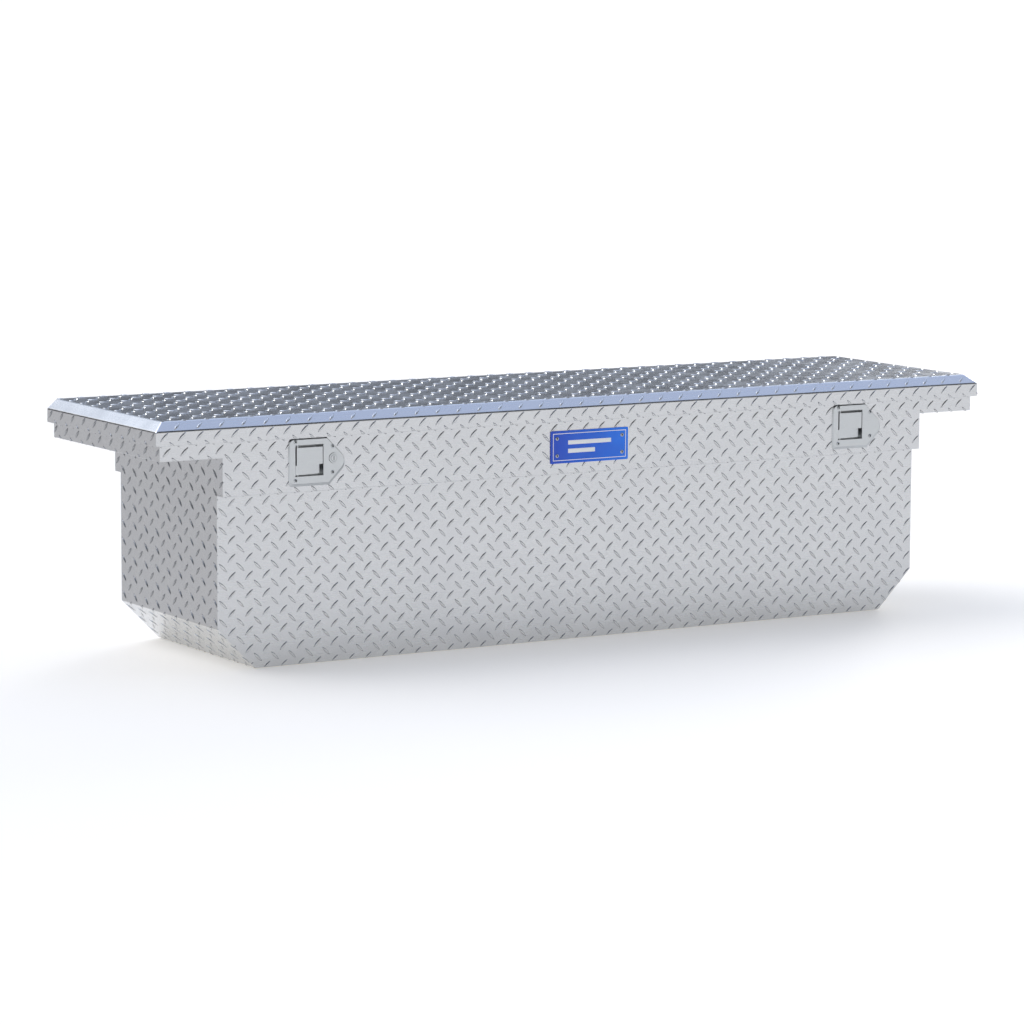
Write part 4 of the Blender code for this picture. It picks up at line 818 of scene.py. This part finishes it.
# a profile of (radius, height) turned about -Y
def turnedFace(name, profile, steps):
    bm = bmesh.new()
    rings = []
    for radius, height in profile:
        if radius == 0:
            rings.append([bm.verts.new((0, -height, 0))] * steps)
        else:
            turns = [2 * math.pi * k / steps for k in range(steps)]
            rings.append([bm.verts.new((radius * math.cos(t), -height, radius * math.sin(t))) for t in turns])
    for near, far in zip(rings, rings[1:]):
        for k in range(steps):
            corners = [near[k], near[(k + 1) % steps], far[(k + 1) % steps], far[k]]
            bm.faces.new(list(dict.fromkeys(corners))).smooth = True
    bmesh.ops.recalc_face_normals(bm, faces=bm.faces)
    return toObject(name, bm)


def scatterTree():
    tree = bpy.data.node_groups.new("sameOnEveryPoint", "GeometryNodeTree")
    face = tree.interface
    face.new_socket("Geometry", in_out="INPUT", socket_type="NodeSocketGeometry")
    face.new_socket("Piece", in_out="INPUT", socket_type="NodeSocketObject")
    face.new_socket("Turn", in_out="INPUT", socket_type="NodeSocketFloat")
    face.new_socket("Seed", in_out="INPUT", socket_type="NodeSocketInt")
    face.new_socket("Finish", in_out="INPUT", socket_type="NodeSocketMaterial")
    face.new_socket("Geometry", in_out="OUTPUT", socket_type="NodeSocketGeometry")
    given = addNode(tree, "NodeGroupInput").outputs
    piece = addNode(tree, "GeometryNodeObjectInfo", None, {"Object": given["Piece"]})
    angle = addNode(tree, "FunctionNodeRandomValue", {"data_type": "FLOAT"}, {
        3: given["Turn"], "Seed": given["Seed"]})
    turn = addNode(tree, "ShaderNodeCombineXYZ", None, {1: angle.outputs[1]})
    placed = addNode(tree, "GeometryNodeInstanceOnPoints", None, {
        "Points": given["Geometry"], "Instance": piece.outputs["Geometry"], "Rotation": turn.outputs[0]})
    plain = addNode(tree, "GeometryNodeRealizeInstances", None, {"Geometry": placed.outputs[0]})
    finished = addNode(tree, "GeometryNodeSetMaterial", None, {
        "Geometry": plain.outputs[0], "Material": given["Finish"]})
    addNode(tree, "NodeGroupOutput", None, {0: finished.outputs[0]})
    return tree


everyPoint = scatterTree()
fullTurn = 6.283      # each copy is turned by up to this, in radians


def scattered(name, piece, places, finish, seed=3):
    mesh = bpy.data.meshes.new(name)
    mesh.from_pydata(places, [], [])
    made = runTree(name, everyPoint, mesh, {"Piece": piece, "Turn": fullTurn, "Seed": seed, "Finish": finish})
    obj = bpy.data.objects.new(name, made)
    scene.collection.objects.link(obj)
    return obj


r, h, bore = rivetHead["radius"], rivetHead["height"], rivetHead["bore"]
dome = [(r * across, h * up) for across, up in rivetHead["curve"]]
dome += [(bore * 1.25, h), (bore, h - 0.0001), (bore, h - rivetHead["sunk"])]
head = turnedFace("rivetTemplate", dome, rivetHead["steps"])
floorOfBore = h - rivetHead["sunk"]
stubFace = [(bore * 0.98, floorOfBore + 0.0002), (0, floorOfBore + 0.0003)]
stub = turnedFace("stubTemplate", stubFace, rivetHead["stubSteps"])
rivetNodes = [f"{side}_latch_rivet_{n}" for side in ("left", "right") for n in (1, 2, 3, 4)]
rivetNodes += [f"badge_rivet_{n}" for n in (1, 2, 3, 4)]
rivetPlaces = []
for node in rivetNodes:
    low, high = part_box(node)
    rivetPlaces.append(((low.x + high.x) / 2, low.y + rivetHead["seat"], (low.z + high.z) / 2))
ranOver(scattered("rivetHeads", head, rivetPlaces, stainless), *rivetNodes)

# Snapped steel of the mandrels: dark and rough, a little uneven; the near black is partly the steel's own
# darker tone and partly painted shade of the bore
mandrelSteelAndPaintedShade = {"grain": 0.0008, "colours": ("#16171A", "#2C2D30"), "roughness": 0.6}
mandrel, tree, shader, place = startMaterial(
    "snappedSteelMandrelWithPaintedShade", Metallic=1.0, Roughness=mandrelSteelAndPaintedShade["roughness"])
uneven = addNode(tree, "ShaderNodeTexNoise", None, {
    "Scale": 1 / mandrelSteelAndPaintedShade["grain"], "Detail": 2.0, "Vector": place}).outputs["Fac"]
low, high = mandrelSteelAndPaintedShade["colours"]
tint = addNode(tree, "ShaderNodeMix", {"data_type": "RGBA"}, {
    6: hexColour(low), 7: hexColour(high), 0: uneven})
tree.links.new(tint.outputs[2], shader.inputs["Base Color"])
stubs = scattered("rivetMandrels", stub, rivetPlaces, mandrel)
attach(stubs, "tub")

# the hinge's leaf is held to the rear panel by a row of flatter rivets
hingeRow = {
    "count": 19,
    "below": 0.016,
    "inset": 0.03,
    "face": [(0.0032, 0), (0.0029, 0.0006), (0.0016, 0.001), (0, 0.0011)],      # radius, height
    "steps": 16,
}
span = leafHigh.x - hingeRow["inset"]
rowPlaces = []
for k in range(hingeRow["count"]):
    x = -span + 2 * span * k / (hingeRow["count"] - 1)
    rowPlaces.append((x, -leafHigh.y, leafHigh.z - hingeRow["below"]))
flat = turnedFace("flatTemplate", hingeRow["face"], hingeRow["steps"])
hingeRivets = scattered("hingeRivets", flat, rowPlaces, stainless)
hingeRivets.data.transform(Matrix.Rotation(math.pi, 4, "Z"))
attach(hingeRivets, "tub")
for template in (head, stub, flat):
    bpy.data.objects.remove(template)
print("rivets done")

# weather seal: a hollow-bulb profile carried round the opening

seal = {
    "width": 0.010,
    "foot": 0.34,          # shares of its height: the foot, and the middle of the bulb
    "bulb": 0.4,
    "steps": 9,
    "corner": 0.012,
    "tightest": 0.0005,    # the inner side's corner
    "cornerSteps": 6,
}
low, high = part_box("weather_seal")
width, tall = seal["width"], high.z - low.z
bulb = [(0.0, 0.0), (0.0, seal["foot"] * tall)]
for k in range(seal["steps"] + 1):
    turn = math.pi - math.pi * k / seal["steps"]
    up = seal["bulb"] * tall + (1 - seal["bulb"]) * tall * math.sin(turn)
    bulb.append((width / 2 + width / 2 * math.cos(turn), up))
bulb += [(width, seal["foot"] * tall), (width, 0.0)]
# each corner's place, and the angle its bend starts at
corners = ((high.x, high.y, 0), (low.x, high.y, 90), (low.x, low.y, 180), (high.x, low.y, 270))
bm = bmesh.new()
rings = []
for inset, up in bulb:
    ring = []
    radius = seal["corner"]
    for cx, cy, start in corners:
        sx, sy = (1 if cx > 0 else -1), (1 if cy > (low.y + high.y) / 2 else -1)
        for k in range(seal["cornerSteps"] + 1):
            turn = math.radians(start + 90 * k / seal["cornerSteps"])
            reach = radius - inset if radius > inset else seal["tightest"]
            x = cx - sx * radius + reach * math.cos(turn)
            y = cy - sy * radius + reach * math.sin(turn)
            ring.append(bm.verts.new((x, y, low.z + up)))
    rings.append(ring)
for near, far in zip(rings, rings[1:] + rings[:1]):
    for i in range(len(near)):
        j = (i + 1) % len(near)
        bm.faces.new((near[i], near[j], far[j], far[i])).smooth = True
bmesh.ops.recalc_face_normals(bm, faces=bm.faces)
ranOver(toObject("weatherSeal", bm, rubber), "weather_seal")
print("seal done")

# badge print: a keyline and two plain bars, no lettering

badgeInk = {
    "proud": 0.00012,
    "sunk": 0.0001,
    "inset": 0.005,
    "line": 0.0012,
    "bars": ((-0.048, 0.004, 0.048, 0.012), (-0.048, -0.012, 0.012, -0.004)),      # left, bottom, right, top
}
face, midZ = badgeLow.y, (badgeLow.z + badgeHigh.z) / 2
inset, line = badgeInk["inset"], badgeInk["line"]
x0, x1, z0, z1 = badgeLow.x + inset, badgeHigh.x - inset, badgeLow.z + inset, badgeHigh.z - inset
strips = [
    (x0, z0, x1, z0 + line), (x0, z1 - line, x1, z1),
    (x0, z0 + line, x0 + line, z1 - line), (x1 - line, z0 + line, x1, z1 - line),
]
strips += [(a, midZ + b, c, midZ + d) for a, b, c, d in badgeInk["bars"]]
printed = bmesh.new()
for a, b, c, d in strips:
    piece = box((a, face - badgeInk["proud"], b), (c, face + badgeInk["sunk"], d))
    mesh = bpy.data.meshes.new("strip")
    piece.to_mesh(mesh)
    piece.free()
    printed.from_mesh(mesh)
    bpy.data.meshes.remove(mesh)
printed = toObject("badgePrint", printed, ink)
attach(printed, "tub")
print("badge done")
